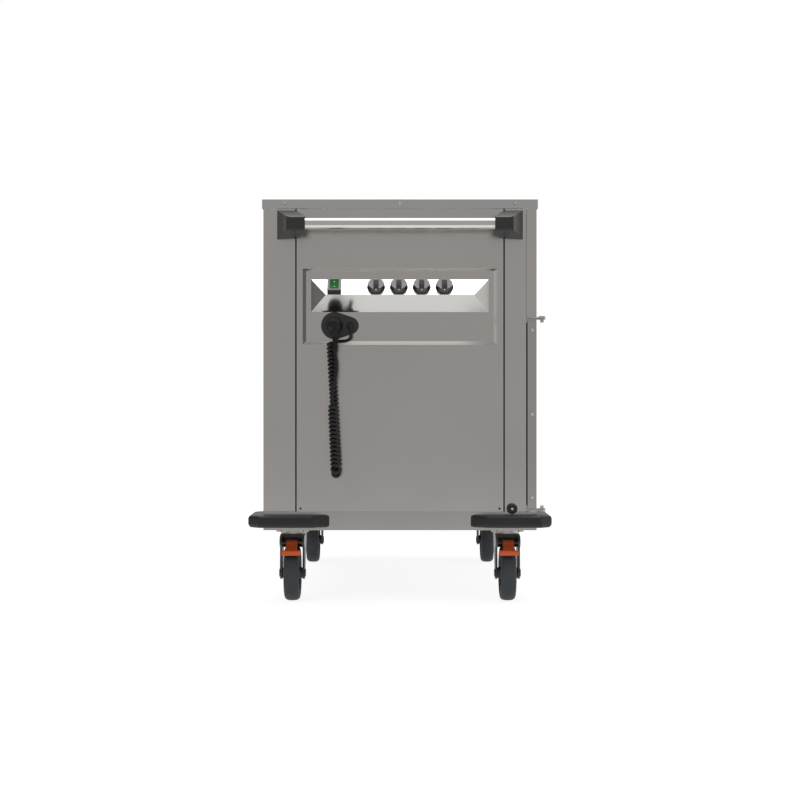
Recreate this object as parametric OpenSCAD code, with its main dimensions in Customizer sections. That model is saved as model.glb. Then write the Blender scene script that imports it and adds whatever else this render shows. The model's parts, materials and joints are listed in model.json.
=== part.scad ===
// Heated food trolley: three water wells over a heated cupboard, on four casters.
// Millimetres. X is the width, Y the length (the control end faces -Y), Z is up from the floor.

/* [Body] */
// Length of the body from the control end to the far end
body_l = 1150; // [1120:10:1250]
// Width of the body over its side skins
body_w = 604; // [604:2:640]
// Height of the top rim above the floor
overall_h = 900; // [880:5:940]
// Height of the body's lower edge above the floor
body_z = 167; // [165:1:175]
// Thickness of the sheet metal
sheet_t = 1.2; // [0.8:0.1:1.5]
// Depth of the space behind each end skin
end_cavity = 40; // [38:1:42]
// Depth of the space behind the left side skin
side_cavity = 30; // [28:1:34]
// Gap between neighbouring sheet metal pieces
seam = 0.3; // [0.2:0.05:0.5]
// Width of each corner strip beside the service panel
strip_w = 70.5; // [66:0.5:74]
// Gap between the service panel and the corner strips
panel_gap = 3; // [2:0.5:4]

/* [Top deck] */
// How far the deck stands out past each side
deck_over = 3; // [2:0.5:5]
// Height of the deck's turned-down edge
deck_skirt = 22; // [18:1:26]
// Distance from the middle to the outer rim screws
rim_screw_x = 255; // [240:5:270]
// Depth of the rim screws below the top
rim_screw_drop = 10; // [8:1:12]

/* [Wells] */
// Clear length of a well across the trolley
well_l = 510; // [500:2:520]
// Clear width of a well along the trolley
well_w = 306; // [300:2:312]
// Depth of a well
well_depth = 205; // [180:5:210]
// Distance between neighbouring wells
well_pitch = 357; // [346:1:362]
// Corner radius of a well
well_r = 25; // [15:1:40]
// Width of the well's rim on the deck
well_rim = 12; // [8:1:14]
// Radius of the drain hole
drain_hole_r = 8; // [6:0.5:9]

/* [Cupboard] */
// Height of the cupboard floor
bay_z = 226; // [224:1:232]
// Height of the clear opening of the cupboard
bay_h = 396; // [380:1:400]
// Thickness of a partition between two bays
divider_t = 12; // [10:1:16]
// Width of a runner's ledge in the end bays
ledge_w = 13.7; // [12:0.1:16]
// Number of runner levels in a bay
runner_levels = 4; // [2:1:5]
// Distance between runner levels
runner_pitch = 75; // [60:5:80]
// Height of the lowest runner above the cupboard floor
runner_z = 70; // [50:5:80]

/* [Doors] */
// Thickness of a door
door_t = 20; // [18:1:22]
// Height of a door
door_h = 416; // [412:1:420]
// Height of a door's lower edge
door_z = 216; // [214:1:218]
// Gap between two doors
door_gap = 2.5; // [2:0.5:4]
// Gap behind a closed door, filled by its seal
seal_gap = 3; // [2.5:0.5:4]
// Width of the door seal
seal_w = 3; // [2.5:0.25:3.5]
// Distance of the pivot outside the door's face
pivot_out = 12.5; // [12.5:0.5:16]
// Distance of the pivot from the door's own edge
pivot_in = 5; // [4.5:0.5:6]
// Radius of the pivot bolt's shank
pivot_r = 4; // [3:0.5:5]
// Radius of the rounded end of a hinge arm
arm_r = 7.5; // [7:0.5:9]
// Thickness of a hinge arm
arm_t = 3; // [2.5:0.5:3.5]
// Clear length of the finger recess
grip_l = 110; // [90:5:140]
// Clear width of the finger recess
grip_w = 30; // [24:1:36]
// Depth of the finger recess
grip_d = 14; // [10:1:15]
// Radius of the rubber door buffer
buffer_r = 11.5; // [9:0.5:12]

/* [Control panel] */
// Width of the raised field of the service panel
field_w = 430; // [420:2:436]
// Height of the lower edge of the raised field
field_z = 577; // [570:1:580]
// Height of the raised field
field_h = 168; // [165:1:180]
// How far the field stands out
field_out = 8; // [6:0.5:9]
// Width of the console at its base
console_w = 392; // [388:2:400]
// Height of the console at its base
console_h = 72; // [72:1:80]
// Height of the console's lower edge
console_z = 649; // [648:1:656]
// Height of the retaining hole below each panel corner
panel_hole_z = 215; // [214:1:222]

/* [Controls] */
// Radius of a knob
knob_r = 20; // [17:0.5:21]
// Height of a knob's skirt
knob_skirt = 10; // [7:0.5:11]
// Height of a knob over its wing grip
knob_h = 17; // [17:0.5:22]
// Width of the wing grip
wing_w = 11.5; // [9:0.5:13]
// Distance between neighbouring knobs
knob_pitch = 50; // [44:1:52]
// Place of the first knob from the middle
knob_x = -52.5; // [-56:0.5:-48]
// Radius of a thermostat spindle
spindle_r = 3; // [2.5:0.5:4]
// Radius of a thermostat
thermostat_r = 15; // [12:0.5:16]
// Place of the mains switch from the middle
switch_x = -144; // [-150:1:-130]
// Width of the mains switch bezel
bezel_w = 30.5; // [27:0.1:31]
// Height of the mains switch bezel on the slope
bezel_h = 37; // [35:0.5:38]
// Width of the rocker
rocker_w = 19; // [16:0.5:21]
// Length of the rocker
rocker_h = 27.5; // [24:0.5:29]

/* [Mains cord] */
// Radius of the parking socket's flange
holder_r = 30; // [28:0.5:32]
// Radius of the flange's small lobe
lobe_r = 19; // [16:0.5:20]
// Diameter of the cord
cord_d = 7; // [6:0.5:7]
// Radius of the middle of a curl
curl_r = 6.6; // [6.4:0.1:6.8]
// Distance from curl to curl on the hanging strands
curl_pitch = 9; // [8.5:0.25:10]
// Radius of the plug's body
plug_r = 17.5; // [16:0.5:18]

/* [Push handle] */
// Diameter of the handle tube
handle_d = 25; // [22:0.5:28]
// Depth of the handle tube's middle below the top rim
handle_drop = 62; // [58:1:64]
// Distance from the end skin to the tube's middle
handle_out = 65; // [60:1:68]
// Half of the visible length of the tube
handle_half = 206; // [196:1:210]
// Reach of the handle brackets from the end skin
handle_reach = 85; // [80:1:92]

/* [Bumpers] */
// Reach of a bumper from the body
bumper_out = 33; // [28:1:36]
// Length of each bumper leg along the body
bumper_leg = 147; // [130:1:160]
// Height of a bumper
bumper_h = 27; // [24:1:30]
// Height of a bumper's lower edge
bumper_z = 174; // [172:1:176]

/* [Casters] */
// Diameter of a wheel
wheel_d = 125; // [120:1:126]
// Width of a tyre
tyre_w = 36; // [30:1:38]
// Thickness of the tyre's rubber
tyre_t = 13; // [10:1:16]
// Distance of the wheels from the middle
caster_x = 244; // [236:1:248]
// Distance of the caster plates' middle from each end
caster_y = 143; // [138:1:150]
// Trail of the swivel casters
trail = 38; // [32:1:40]
// Outer width of a fork
fork_w = 56; // [54:1:58]
// Radius of an axle
axle_r = 6; // [5:0.5:7]
// Width of a caster plate
plate_w = 80; // [78:1:84]
// Length of a caster plate
plate_l = 105; // [100:1:110]
// Bolt spacing across a caster plate
bolt_x = 60; // [58:1:62]
// Bolt spacing along a caster plate
bolt_y = 80; // [76:1:84]
// Width of the brake pedal's lip
pedal_w = 42; // [38:1:44]

/* [Hidden] */
$fn = 48;
// Running clearance of a shaft in its bore, on the radius
run = 0.05;
// Clearance between pieces that move past each other
clear = 0.3;
// Small overlap that keeps a cut or a union clean
eps = 0.01;

half_w = body_w / 2;
half_l = body_l / 2;
front_y = (handle_reach - bumper_out) / 2 - half_l;

// Deck, skins and base
deck_top = overall_h - sheet_t;
deck_half = half_w + deck_over;
deck_low = overall_h - deck_skirt;
skin_top = deck_low - seam;
base_h = 41;
skin_z = body_z + base_h;
frame_t = 2;
floor_z = skin_z - 4;
channel_w = 120;
strip_x = half_w - strip_w;
panel_x = strip_x - panel_gap;
flange_d = 5;
backing_w = 18;
rim_z = overall_h - rim_screw_drop;
screw_r = 3.5;
screw_h = 1.8;

// Wells, heaters and drain
WELL_Y = [half_l - well_pitch, half_l, half_l + well_pitch];
well_bottom = overall_h - well_depth;
well_under = well_bottom - sheet_t;
mat_t = 5;
drain_x = 35 - well_l / 2;
pipe_r = 10.5;
elbow_r = pipe_r + 2;
pipe_x = sheet_t + side_cavity / 2 - half_w;
pipe_z = well_under - 24;
manifold_z = body_z + 18;
valve_y = WELL_Y[2] - 60;
valve_r = 12;
valve_half = 17;
stem_y = valve_y - 8;
stem_r = 3;
lever_l = 55;
lever_z = body_z + 2;
lever_t = 3;

// Doors and cupboard
door_pitch = (body_l - 2) / 3;
door_l = door_pitch - door_gap;
door_top = door_z + door_h;
door_x = half_w - door_t;
jamb_x = door_x - seal_gap;
pivot_x = half_w + pivot_out;
strap_gap = 0.5;
plate_root = 17;
plate_end = 14;
bolt_end = 5.5;
fascia_z = door_top + 2 * arm_t + strap_gap + clear;
bay_top = bay_z + bay_h;
liner_x = sheet_t + side_cavity - half_w;
liner_y = [end_cavity, body_l - end_cavity];
frame_x1 = jamb_x - sheet_t;
frame_top = fascia_z + 18;
BAY_Y = [
    [liner_y[0] + sheet_t, door_line(1) - divider_t / 2],
    [door_line(1) + divider_t / 2, door_line(2) - divider_t / 2],
    [door_line(2) + divider_t / 2, liner_y[1] - sheet_t]
];
runner_half = 250;
runner_gap = BAY_Y[0][1] - BAY_Y[0][0] - 2 * ledge_w;
runner_lip = 14;
grip_edge = 22;
buffer_x = strip_x + 16;
buffer_z = body_z + 48;
buffer_l = pivot_out - clear;

// Raised field, console and controls
field_top = 5;
console_out = console_h / 2;
console_mid = console_z + console_out;
console_t = 1.5;
ridge_half = console_w / 2 - console_out + 2;
slope_y = -field_out - console_out / 2;
slope_z = console_mid + console_out / 2;
window_edge = 10;
panel_hole_x = panel_x - 8.5;
knob_gap = 0.5;
knob_taper = 2.5;
wing_root = knob_r - knob_taper;
wing_front = 4;
wing_back = wing_root + knob_skirt - knob_h;
spindle_l = 15;
bezel_t = 8.7;
rocker_axis = 5;
rocker_play = 0.9;
rocker_pin_r = 1.2;
thermostat_l = 26;
terminal_x = [60, 210];
terminal_z = [field_z - 97, field_z - 27];
terminal_d = 24;
way_pitch = 14;
way_w = 8;
way_edge = 10;
way_out = 4;

// Parking socket, plug and cord
plug_x = -144;
plug_z = 619;
lobe_x = -110;
holder_t = 4;
holder_y = -field_out - holder_t;
cup_r = 21;
cup_l = 22;
gland_r = 8;
gland_l = 6;
neck_r = 5;
pin_r = 2.4;
pin_gap = 9.5;
pin_l = 19;
plug_l = 28;
relief_x = -142;
relief_y = -33.5;
relief_z = 562;
relief_l = 48;

// Push handle
handle_z = overall_h - handle_drop;
socket_depth = 9;
foot_plan = [[65, -28], [65, 35], [23, 35], [0, -5], [0, -18], [23, -26]];
foot_t = 8;
head_l = 40;
head_z = [-16, 15];
head_back = 15;
nose_l = 33;
nose_z = [-14, 12];
nose_t = 3;

// Casters
nut_r = 7;
leg_reach = bolt_y / 2 - nut_r;
fork_back = 26;
wheel_r = wheel_d / 2;
plate_t = 6;
plate_z = body_z - plate_t;
race_t = 11;
race_r = 30;
fork_top = plate_z - race_t - clear;
crown_t = 8;
leg_t = 5;
web_y = 14;
web_z = wheel_d - 9;
axle_head_r = 9;
axle_head_t = 2;
core_r = wheel_r - tyre_t - run;
kingpin_r = 6;
bolt_r = 4;
pedal_pin_r = 3;
pedal_y = -trail - 21;
pedal_z = wheel_r + 70;
lip_y = -106;
lip_z = 107;

STEEL = [0.57, 0.55, 0.54];
POLISHED = [0.82, 0.82, 0.82];
BLACK = [0.14, 0.14, 0.15];
RUBBER = [0.17, 0.18, 0.21];
ORANGE = [0.80, 0.30, 0.10];
GREEN = [0.10, 0.45, 0.15];
ZINC = [0.72, 0.72, 0.70];
WOOL = [0.80, 0.74, 0.50];

// The supply lead's route from the gland to the first curl, chosen by hand
LEAD_ROUTE = [
    [-110, -18, 619], [-110, -25, 619], [-109.5, -31, 616.5], [-109, -34, 611], [-108, -35, 604.5],
    [-107.5, -33.5, 598], [-108.5, -30, 592], [-111.5, -25.5, 588], [-116.5, -21, 585.5],
    [-123, -17, 584.5], [-130.5, -13.5, 584.2], [-138, -12.2, 583], [-145, -12.2, 581.5]
];
// The straight stretch from the last curl up to the plug's strain relief, chosen by hand
PLUG_ROUTE = [
    [-148, -49, 456], [-148, -49, 463], [-147, -48, 476], [-144, -45.5, 491], [-141, -42, 506],
    [-139.5, -38.5, 521], [-139.5, -35.5, 536], [-141, -33.8, 548], [-142, -33.5, 555], [-142, -33.5, 562]
];
// The middle line of the curls: down the wall strand, round the bottom, up the outer strand
WALL_TOP = [-152, -18.8, 580];
WALL_LOW = [-137.5, -18.8, 309];
OUTER_LOW = [-142, -49, 309];
OUTER_TOP = [-148, -49, 456];
CURL_START = [7, 0, 1.5];
turn_pitch = 14;
curl_steps = 8;
curl_sides = 6;
lead_sides = 8;
settle = 1.25;

// The front edge of door i
function door_line(i) = 1 + i * door_pitch;

// ---- Helpers ----

// Moves what is drawn from the control end's face into the trolley's own frame
module place() translate([0, front_y, 0]) children();

// A block from its lowest to its highest corner
module block(low, high) translate(low) cube(high - low);

// What is drawn at the control end, again at the far end
module both_ends() {
    children();
    translate([0, body_l, 0]) mirror([0, 1, 0]) children();
}

// What is drawn on the right, again on the left
module both_sides() {
    children();
    mirror([1, 0, 0]) children();
}

// A rectangle with round corners, centred
module round_rect(l, w, r) {
    square([l, w - 2 * r], center = true);
    square([l - 2 * r, w], center = true);
    for (x = [-1, 1], y = [-1, 1]) translate([x * (l / 2 - r), y * (w / 2 - r)]) circle(r);
}

// A ring of points of radius r round p, across the plane of u and v
function ring(p, u, v, r, sides) = [
    for (k = [0:sides - 1], a = 360 * k / sides) p + r * (cos(a) * u + sin(a) * v)
];
function unit(v) = v / norm(v);
function across(v, t) = unit(v - (v * t) * t);

// The direction of a line at each of its points
function headings(p) = [
    for (i = [0:len(p) - 1]) unit(p[min(i + 1, len(p) - 1)] - p[max(i - 1, 0)])
];

// A side vector carried along a line without twist
function carried(t, first) = [
    for (i = 0, u = across(first, t[0]); i < len(t); i = i + 1, u = across(u, t[min(i, len(t) - 1)])) u
];

// A round tube along a line of points, closed at both ends
module tube(p, r, sides, first) {
    t = headings(p);
    u = carried(t, first);
    points = [for (i = [0:len(p) - 1], q = ring(p[i], u[i], cross(t[i], u[i]), r, sides)) q];
    last = (len(p) - 1) * sides;
    walls = [
        for (i = [0:len(p) - 2], k = [0:sides - 1])
            let (a = i * sides + k, b = i * sides + (k + 1) % sides)
            each [[a, b + sides, b], [a, a + sides, b + sides]]
    ];
    ends = [for (k = [1:sides - 2]) each [[0, k, k + 1], [last, last + k + 1, last + k]]];
    polyhedron(points, concat(walls, ends));
}

// ---- Deck, skins and base ----

module top_deck() color(STEEL) difference() {
    block([-deck_half, 0, deck_low], [deck_half, body_l, deck_top]);
    block(
        [sheet_t - deck_half, sheet_t, deck_low - 1],
        [deck_half - sheet_t, body_l - sheet_t, deck_top - sheet_t]
    );
    for (y = WELL_Y) translate([0, y, deck_top - 2 * sheet_t]) linear_extrude(3 * sheet_t) {
        round_rect(well_l + 2 * (sheet_t + clear), well_w + 2 * (sheet_t + clear), well_r + sheet_t + clear);
    }
}

// One end's strip beside its panel: the face, its turned-back edge and the backing behind the gap
module strip(outer_x) {
    block([strip_x, 0, skin_z], [outer_x, sheet_t, skin_top]);
    block([strip_x, 0, skin_z], [strip_x + sheet_t, flange_d + 2 * sheet_t, skin_top]);
    block(
        [strip_x - backing_w, flange_d + sheet_t, skin_z],
        [strip_x + sheet_t, flange_d + 2 * sheet_t, skin_top]
    );
}

module left_panel() color(STEEL) {
    block([-half_w, 0, skin_z], [sheet_t - half_w, body_l, skin_top]);
    both_ends() mirror([1, 0, 0]) strip(half_w);
}

module corner_posts() color(STEEL) both_ends() {
    strip(jamb_x);
    block([frame_x1, 0, skin_z], [jamb_x, end_cavity, skin_top]);
}

// The flat sheet of an end panel with its two turned-back edges
module panel_sheet() {
    block([-panel_x, 0, skin_z], [panel_x, sheet_t, skin_top]);
    both_sides() block([panel_x - sheet_t, 0, skin_z], [panel_x, flange_d + sheet_t, skin_top]);
}

module rear_panel() color(STEEL) translate([0, body_l, 0]) mirror([0, 1, 0]) panel_sheet();

module right_fascia() color(STEEL) {
    block([half_w - sheet_t, 0, fascia_z], [half_w, body_l, skin_top]);
    block([jamb_x + seam, 0, fascia_z], [half_w, body_l, fascia_z + sheet_t]);
    both_ends() block([jamb_x + seam, 0, fascia_z], [half_w, sheet_t, skin_top]);
}

// What is drawn at each bolt of a caster plate centred on the origin
module at_bolts() for (x = [-1, 1], y = [-1, 1]) translate([x * bolt_x / 2, y * bolt_y / 2, 0]) children();

// What is drawn at the caster on the right of the control end, at all four corners
module at_casters() both_ends() both_sides() translate([caster_x, caster_y, 0]) children();

module base_frame() color(STEEL) difference() {
    union() {
        difference() {
            block([-half_w, 0, body_z], [half_w, body_l, skin_z - seam]);
            block(
                [frame_t - half_w, frame_t, body_z - 1],
                [half_w - frame_t, body_l - frame_t, skin_z]
            );
        }
        block([eps - half_w, eps, floor_z], [half_w - eps, body_l - eps, floor_z + frame_t]);
        both_ends() difference() {
            block(
                [eps - half_w, caster_y - channel_w / 2, body_z],
                [half_w - eps, caster_y + channel_w / 2, floor_z + eps]
            );
            block(
                [frame_t - half_w, caster_y - channel_w / 2 + frame_t, body_z + frame_t],
                [half_w - frame_t, caster_y + channel_w / 2 - frame_t, floor_z]
            );
        }
    }
    at_casters() at_bolts() translate([0, 0, body_z - 1]) cylinder(r = bolt_r + clear / 2, h = 2 * frame_t);
    for (y = WELL_Y) translate([pipe_x, y, floor_z - 1]) cylinder(r = pipe_r + clear, h = 2 * frame_t);
}

// ---- Wells, heaters and drain ----

module heated_wells() color(POLISHED) for (y = WELL_Y) translate([0, y, 0]) difference() {
    union() {
        translate([0, 0, well_under]) linear_extrude(well_depth + sheet_t) {
            round_rect(well_l + 2 * sheet_t, well_w + 2 * sheet_t, well_r + sheet_t);
        }
        translate([0, 0, deck_top]) linear_extrude(sheet_t) {
            round_rect(well_l + 2 * well_rim, well_w + 2 * well_rim, well_r + well_rim);
        }
    }
    translate([0, 0, well_bottom]) linear_extrude(well_depth + 1) round_rect(well_l, well_w, well_r);
    translate([drain_x, 0, well_under - 1]) cylinder(r = drain_hole_r, h = 4 * sheet_t);
}

module heating_mats() color("orangered") {
    for (y = WELL_Y) {
        block(
            [drain_x + 40, y - well_w / 2 + 40, well_under - mat_t],
            [well_l / 2 - 35, y + well_w / 2 - 40, well_under]
        );
    }
    for (bay = BAY_Y) {
        block(
            [liner_x + 45, bay[0] + 30, bay_z - sheet_t - mat_t],
            [frame_x1 - 45, bay[1] - 30, bay_z - sheet_t]
        );
    }
}

// The drain's pipework at radius r: a drop from each well to one long pipe
module pipe_runs(r) {
    for (y = WELL_Y) {
        translate([drain_x, y, pipe_z]) cylinder(r = r, h = well_under - pipe_z);
        translate([pipe_x, y, pipe_z]) rotate([0, 90, 0]) cylinder(r = r, h = drain_x - pipe_x);
        translate([pipe_x, y, manifold_z]) cylinder(r = r, h = pipe_z - manifold_z);
    }
    translate([pipe_x, WELL_Y[0], manifold_z]) rotate([-90, 0, 0]) cylinder(r = r, h = WELL_Y[2] - WELL_Y[0]);
}

module drain_pipes() color(ZINC) difference() {
    union() {
        pipe_runs(pipe_r);
        for (y = WELL_Y) {
            for (p = [[drain_x, pipe_z], [pipe_x, pipe_z], [pipe_x, manifold_z]]) {
                translate([p[0], y, p[1]]) sphere(elbow_r);
            }
            translate([drain_x, y, well_under - 3]) cylinder(r = 16, h = 3);
        }
    }
    pipe_runs(drain_hole_r);
    block(
        [pipe_x - 30, valve_y - valve_half, manifold_z - 30],
        [pipe_x + 30, valve_y + valve_half, manifold_z + 30]
    );
}

module drain_valve() color("goldenrod") {
    block(
        [pipe_x - valve_r, valve_y - valve_half, manifold_z - valve_r],
        [pipe_x + valve_r, valve_y + valve_half, manifold_z + valve_r]
    );
    translate([pipe_x, valve_y + 9, lever_z]) cylinder(r = 6, h = manifold_z - lever_z);
    translate([pipe_x, stem_y, lever_z - clear - 1]) {
        cylinder(r = stem_r, h = manifold_z - lever_z);
        cylinder(r = stem_r + 2, h = 1);
    }
}

module drain_lever() color("red") difference() {
    union() {
        translate([pipe_x, stem_y, lever_z]) cylinder(r = 7, h = lever_t);
        block([pipe_x - 5, stem_y - lever_l, lever_z], [pipe_x + 5, stem_y, lever_z + lever_t]);
    }
    translate([pipe_x, stem_y, lever_z - 1]) cylinder(r = stem_r + run, h = lever_t + 2);
}

// ---- Cupboard ----

module cabinet_liner() color(POLISHED) difference() {
    union() {
        block(
            [liner_x, liner_y[0], bay_z - sheet_t],
            [jamb_x, liner_y[1], bay_top + sheet_t]
        );
        block([frame_x1, liner_y[0] + seam, skin_z], [jamb_x, liner_y[1] - seam, frame_top]);
    }
    block(
        [liner_x + sheet_t, liner_y[0] + sheet_t, bay_z],
        [frame_x1, liner_y[1] - sheet_t, bay_top]
    );
    for (bay = BAY_Y) block([0, bay[0], bay_z], [half_w, bay[1], bay_top]);
}

module bay_dividers() color(POLISHED) for (i = [1, 2]) difference() {
    block(
        [liner_x + sheet_t, door_line(i) - divider_t / 2, bay_z],
        [frame_x1, door_line(i) + divider_t / 2, bay_top]
    );
    block(
        [liner_x, door_line(i) - divider_t / 2 + sheet_t, bay_z + sheet_t],
        [frame_x1 - sheet_t, door_line(i) + divider_t / 2 - sheet_t, bay_top - sheet_t]
    );
}

// One runner rail against the wall at y, its ledge reaching to tip
module runner(y, tip, z) {
    side = sign(tip - y);
    block([-runner_half, min(y, tip), z], [runner_half, max(y, tip), z + sheet_t]);
    block(
        [-runner_half, min(y, y + side * sheet_t), z],
        [runner_half, max(y, y + side * sheet_t), z + runner_lip]
    );
}

module pan_runners() color(POLISHED) for (bay = BAY_Y, level = [0:runner_levels - 1]) {
    middle = (bay[0] + bay[1]) / 2;
    z = bay_z + runner_z + level * runner_pitch;
    runner(bay[0], middle - runner_gap / 2, z);
    runner(bay[1], middle + runner_gap / 2, z);
}

module wall_insulation() color(WOOL) {
    pipe_room = elbow_r + 6;
    ends = concat([liner_y[0]], [for (y = WELL_Y) each [y - pipe_room, y + pipe_room]], [liner_y[1]]);
    for (i = [0:3]) {
        block(
            [frame_t - half_w, ends[2 * i], floor_z + frame_t],
            [liner_x, ends[2 * i + 1] + (i == 3 ? eps : 0), bay_top]
        );
    }
    block(
        [liner_x - eps, liner_y[0], floor_z + frame_t],
        [frame_x1, liner_y[1] + eps, bay_z - sheet_t - mat_t]
    );
    block(
        [frame_t - half_w, liner_y[1], floor_z + frame_t],
        [panel_x - 25, body_l - end_cavity / 4, bay_top]
    );
}

module terminal_block() color("ivory") {
    face_y = liner_y[0] - terminal_d;
    block([terminal_x[0], face_y, terminal_z[0]], [terminal_x[1], liner_y[0], terminal_z[1]]);
    for (x = [terminal_x[0] + way_edge:way_pitch:terminal_x[1] - way_pitch]) {
        block([x, face_y - way_out, terminal_z[0] + way_edge], [x + way_w, face_y + eps, terminal_z[1] - way_edge]);
    }
}

// ---- Doors ----

// The plate on a door's end that turns on the pivot bolt, its eye set up by strap_gap
module pivot_plate() difference() {
    union() {
        block([half_w - plate_root, 0.5, 0], [half_w, plate_end, arm_t]);
        block([half_w - eps, 0.5, strap_gap], [pivot_x, pivot_in + arm_r, arm_t]);
        translate([pivot_x, pivot_in, strap_gap]) cylinder(r = arm_r, h = arm_t - strap_gap);
    }
    translate([pivot_x, pivot_in, -1]) cylinder(r = pivot_r, h = arm_t + 2);
}

module door_shell(i) color(STEEL) translate([0, door_line(i), 0]) {
    grip_y = [door_l - grip_edge - grip_w, door_l - grip_edge];
    grip_z = door_z + (door_h - grip_l) / 2;
    difference() {
        union() {
            difference() {
                block([door_x, 0, door_z], [half_w, door_l, door_top]);
                block(
                    [door_x - 1, sheet_t, door_z + sheet_t],
                    [half_w - sheet_t, door_l - sheet_t, door_top - sheet_t]
                );
            }
            block(
                [half_w - grip_d - sheet_t, grip_y[0] - sheet_t, grip_z - sheet_t],
                [half_w - eps, grip_y[1] + sheet_t, grip_z + grip_l + sheet_t]
            );
        }
        block([half_w - grip_d, grip_y[0], grip_z], [half_w + 1, grip_y[1], grip_z + grip_l]);
    }
    translate([0, 0, door_top + eps]) pivot_plate();
    translate([0, 0, door_z - eps]) mirror([0, 0, 1]) pivot_plate();
}

module door_liner(i) color(POLISHED) translate([0, door_line(i), 0]) {
    edge = sheet_t + clear;
    depth = door_t - grip_d;
    difference() {
        block([door_x, edge, door_z + edge], [door_x + depth, door_l - edge, door_top - edge]);
        block(
            [door_x + sheet_t, edge + sheet_t, door_z + edge + sheet_t],
            [door_x + depth + 1, door_l - edge - sheet_t, door_top - edge - sheet_t]
        );
    }
}

// What is drawn at each door's pivot line
module at_pivots() for (i = [0:2]) translate([0, door_line(i) + pivot_in, 0]) children();

// A hinge arm's tongue from the jamb out to its round eye
module arm(z) {
    block([jamb_x, -arm_r, z], [pivot_x, arm_r, z + arm_t]);
    translate([pivot_x, 0, z]) cylinder(r = arm_r, h = arm_t);
}

module hinge_arms() color(ZINC) at_pivots() {
    difference() {
        union() {
            arm(door_top + arm_t + strap_gap);
            block([jamb_x, -arm_r, bay_top + seal_w + 1], [jamb_x + 2, 14, door_top + 2 * arm_t + strap_gap]);
        }
        translate([pivot_x, 0, door_top]) cylinder(r = pivot_r, h = 4 * arm_t);
    }
    difference() {
        union() {
            arm(door_z - 2 * arm_t - strap_gap);
            block([jamb_x, -arm_r, door_z - 2 * arm_t - strap_gap], [jamb_x + 2, 14, bay_z - seal_w - 1]);
        }
        translate([pivot_x, 0, door_z - 4 * arm_t]) cylinder(r = pivot_r, h = 4 * arm_t);
    }
}

// A pivot bolt pointing down from its head at height z, screwed into the arm
module pivot_bolt(z) {
    grip = 2 * arm_t + strap_gap;
    translate([pivot_x, 0, z]) cylinder(r = arm_r, h = 2);
    translate([pivot_x, 0, z - grip - bolt_end]) cylinder(r = pivot_r - run, h = grip + bolt_end + eps);
}

module hinge_pins() color(ZINC) at_pivots() {
    pivot_bolt(door_top + 2 * arm_t + strap_gap);
    translate([0, 0, 2 * door_z + door_h]) mirror([0, 0, 1]) pivot_bolt(door_top + 2 * arm_t + strap_gap);
}

module door_seals() color(BLACK) for (bay = BAY_Y) {
    out = seal_w + 0.5;
    difference() {
        block([jamb_x, bay[0] - out, bay_z - out], [door_x - 2 * clear, bay[1] + out, bay_top + out]);
        block([jamb_x - 1, bay[0] - 0.5, bay_z - 0.5], [door_x, bay[1] + 0.5, bay_top + 0.5]);
    }
}

module door_buffer() color(BLACK) translate([buffer_x, 0, buffer_z]) rotate([90, 0, 0]) difference() {
    rotate_extrude() polygon([
        [0, 0], [buffer_r - 1.5, 0], [buffer_r, 2],
        [buffer_r, buffer_l / 2 - 1], [buffer_r - 1.5, buffer_l / 2],
        [buffer_r, buffer_l / 2 + 1], [buffer_r, buffer_l - 2.5], [buffer_r - 2.5, buffer_l], [0, buffer_l]
    ]);
    translate([0, 0, -1]) cylinder(r = 2.2, h = buffer_l + 2);
    translate([0, 0, buffer_l - 5]) cylinder(r = screw_r + clear, h = 6);
}

// A pan-head screw standing out along +Z
module pan_head() cylinder(r1 = screw_r, r2 = screw_r - 1, h = screw_h);

module panel_screws() color(ZINC) {
    both_ends() for (x = [-rim_screw_x, 0, rim_screw_x]) translate([x, 0, rim_z]) rotate([90, 0, 0]) pan_head();
    translate([buffer_x, 0, buffer_z]) rotate([90, 0, 0]) {
        cylinder(r = 2, h = buffer_l - 5 + eps);
        translate([0, 0, buffer_l - 5]) pan_head();
    }
}

// ---- Service panel and console ----

// A block-shaped mound on the panel: its base and its smaller top, drawn as one closed form
module mound(x, z0, z1) hull() {
    block([-x, 0, z0], [x, sheet_t, z1]);
    block([field_out - x, -field_out, z0 + field_out], [x - field_out, 0, z1 - field_top]);
}

module service_panel() color(STEEL) difference() {
    union() {
        panel_sheet();
        mound(field_w / 2, field_z, field_z + field_h);
    }
    translate([0, sheet_t + eps, 0]) {
        mound(field_w / 2 - sheet_t, field_z + sheet_t, field_z + field_h - sheet_t);
    }
    block(
        [window_edge - console_w / 2, -field_out - 1, console_z + window_edge],
        [console_w / 2 - window_edge, 1, console_z + console_h - window_edge]
    );
    translate([plug_x, 1, plug_z]) rotate([90, 0, 0]) cylinder(r = cup_r + clear, h = field_out + 2);
    for (x = [-panel_hole_x, panel_hole_x]) {
        translate([x, sheet_t + 1, panel_hole_z]) rotate([90, 0, 0]) cylinder(r = 2.5, h = sheet_t + 2);
    }
}

// The hipped form of the console: base half width x, half height h, and ridge half width r
module hip(x, h, r) polyhedron(
    [[-x, 0, -h], [x, 0, -h], [x, 0, h], [-x, 0, h], [-r, -h, 0], [r, -h, 0]],
    [[0, 1, 2, 3], [4, 5, 1, 0], [5, 4, 3, 2], [5, 2, 1], [4, 0, 3]]
);

// Sets what is drawn on the console's upper slope, +Z pointing out of the slope
module on_slope(x) translate([x, slope_y, slope_z]) rotate([45, 0, 0]) children();

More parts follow.
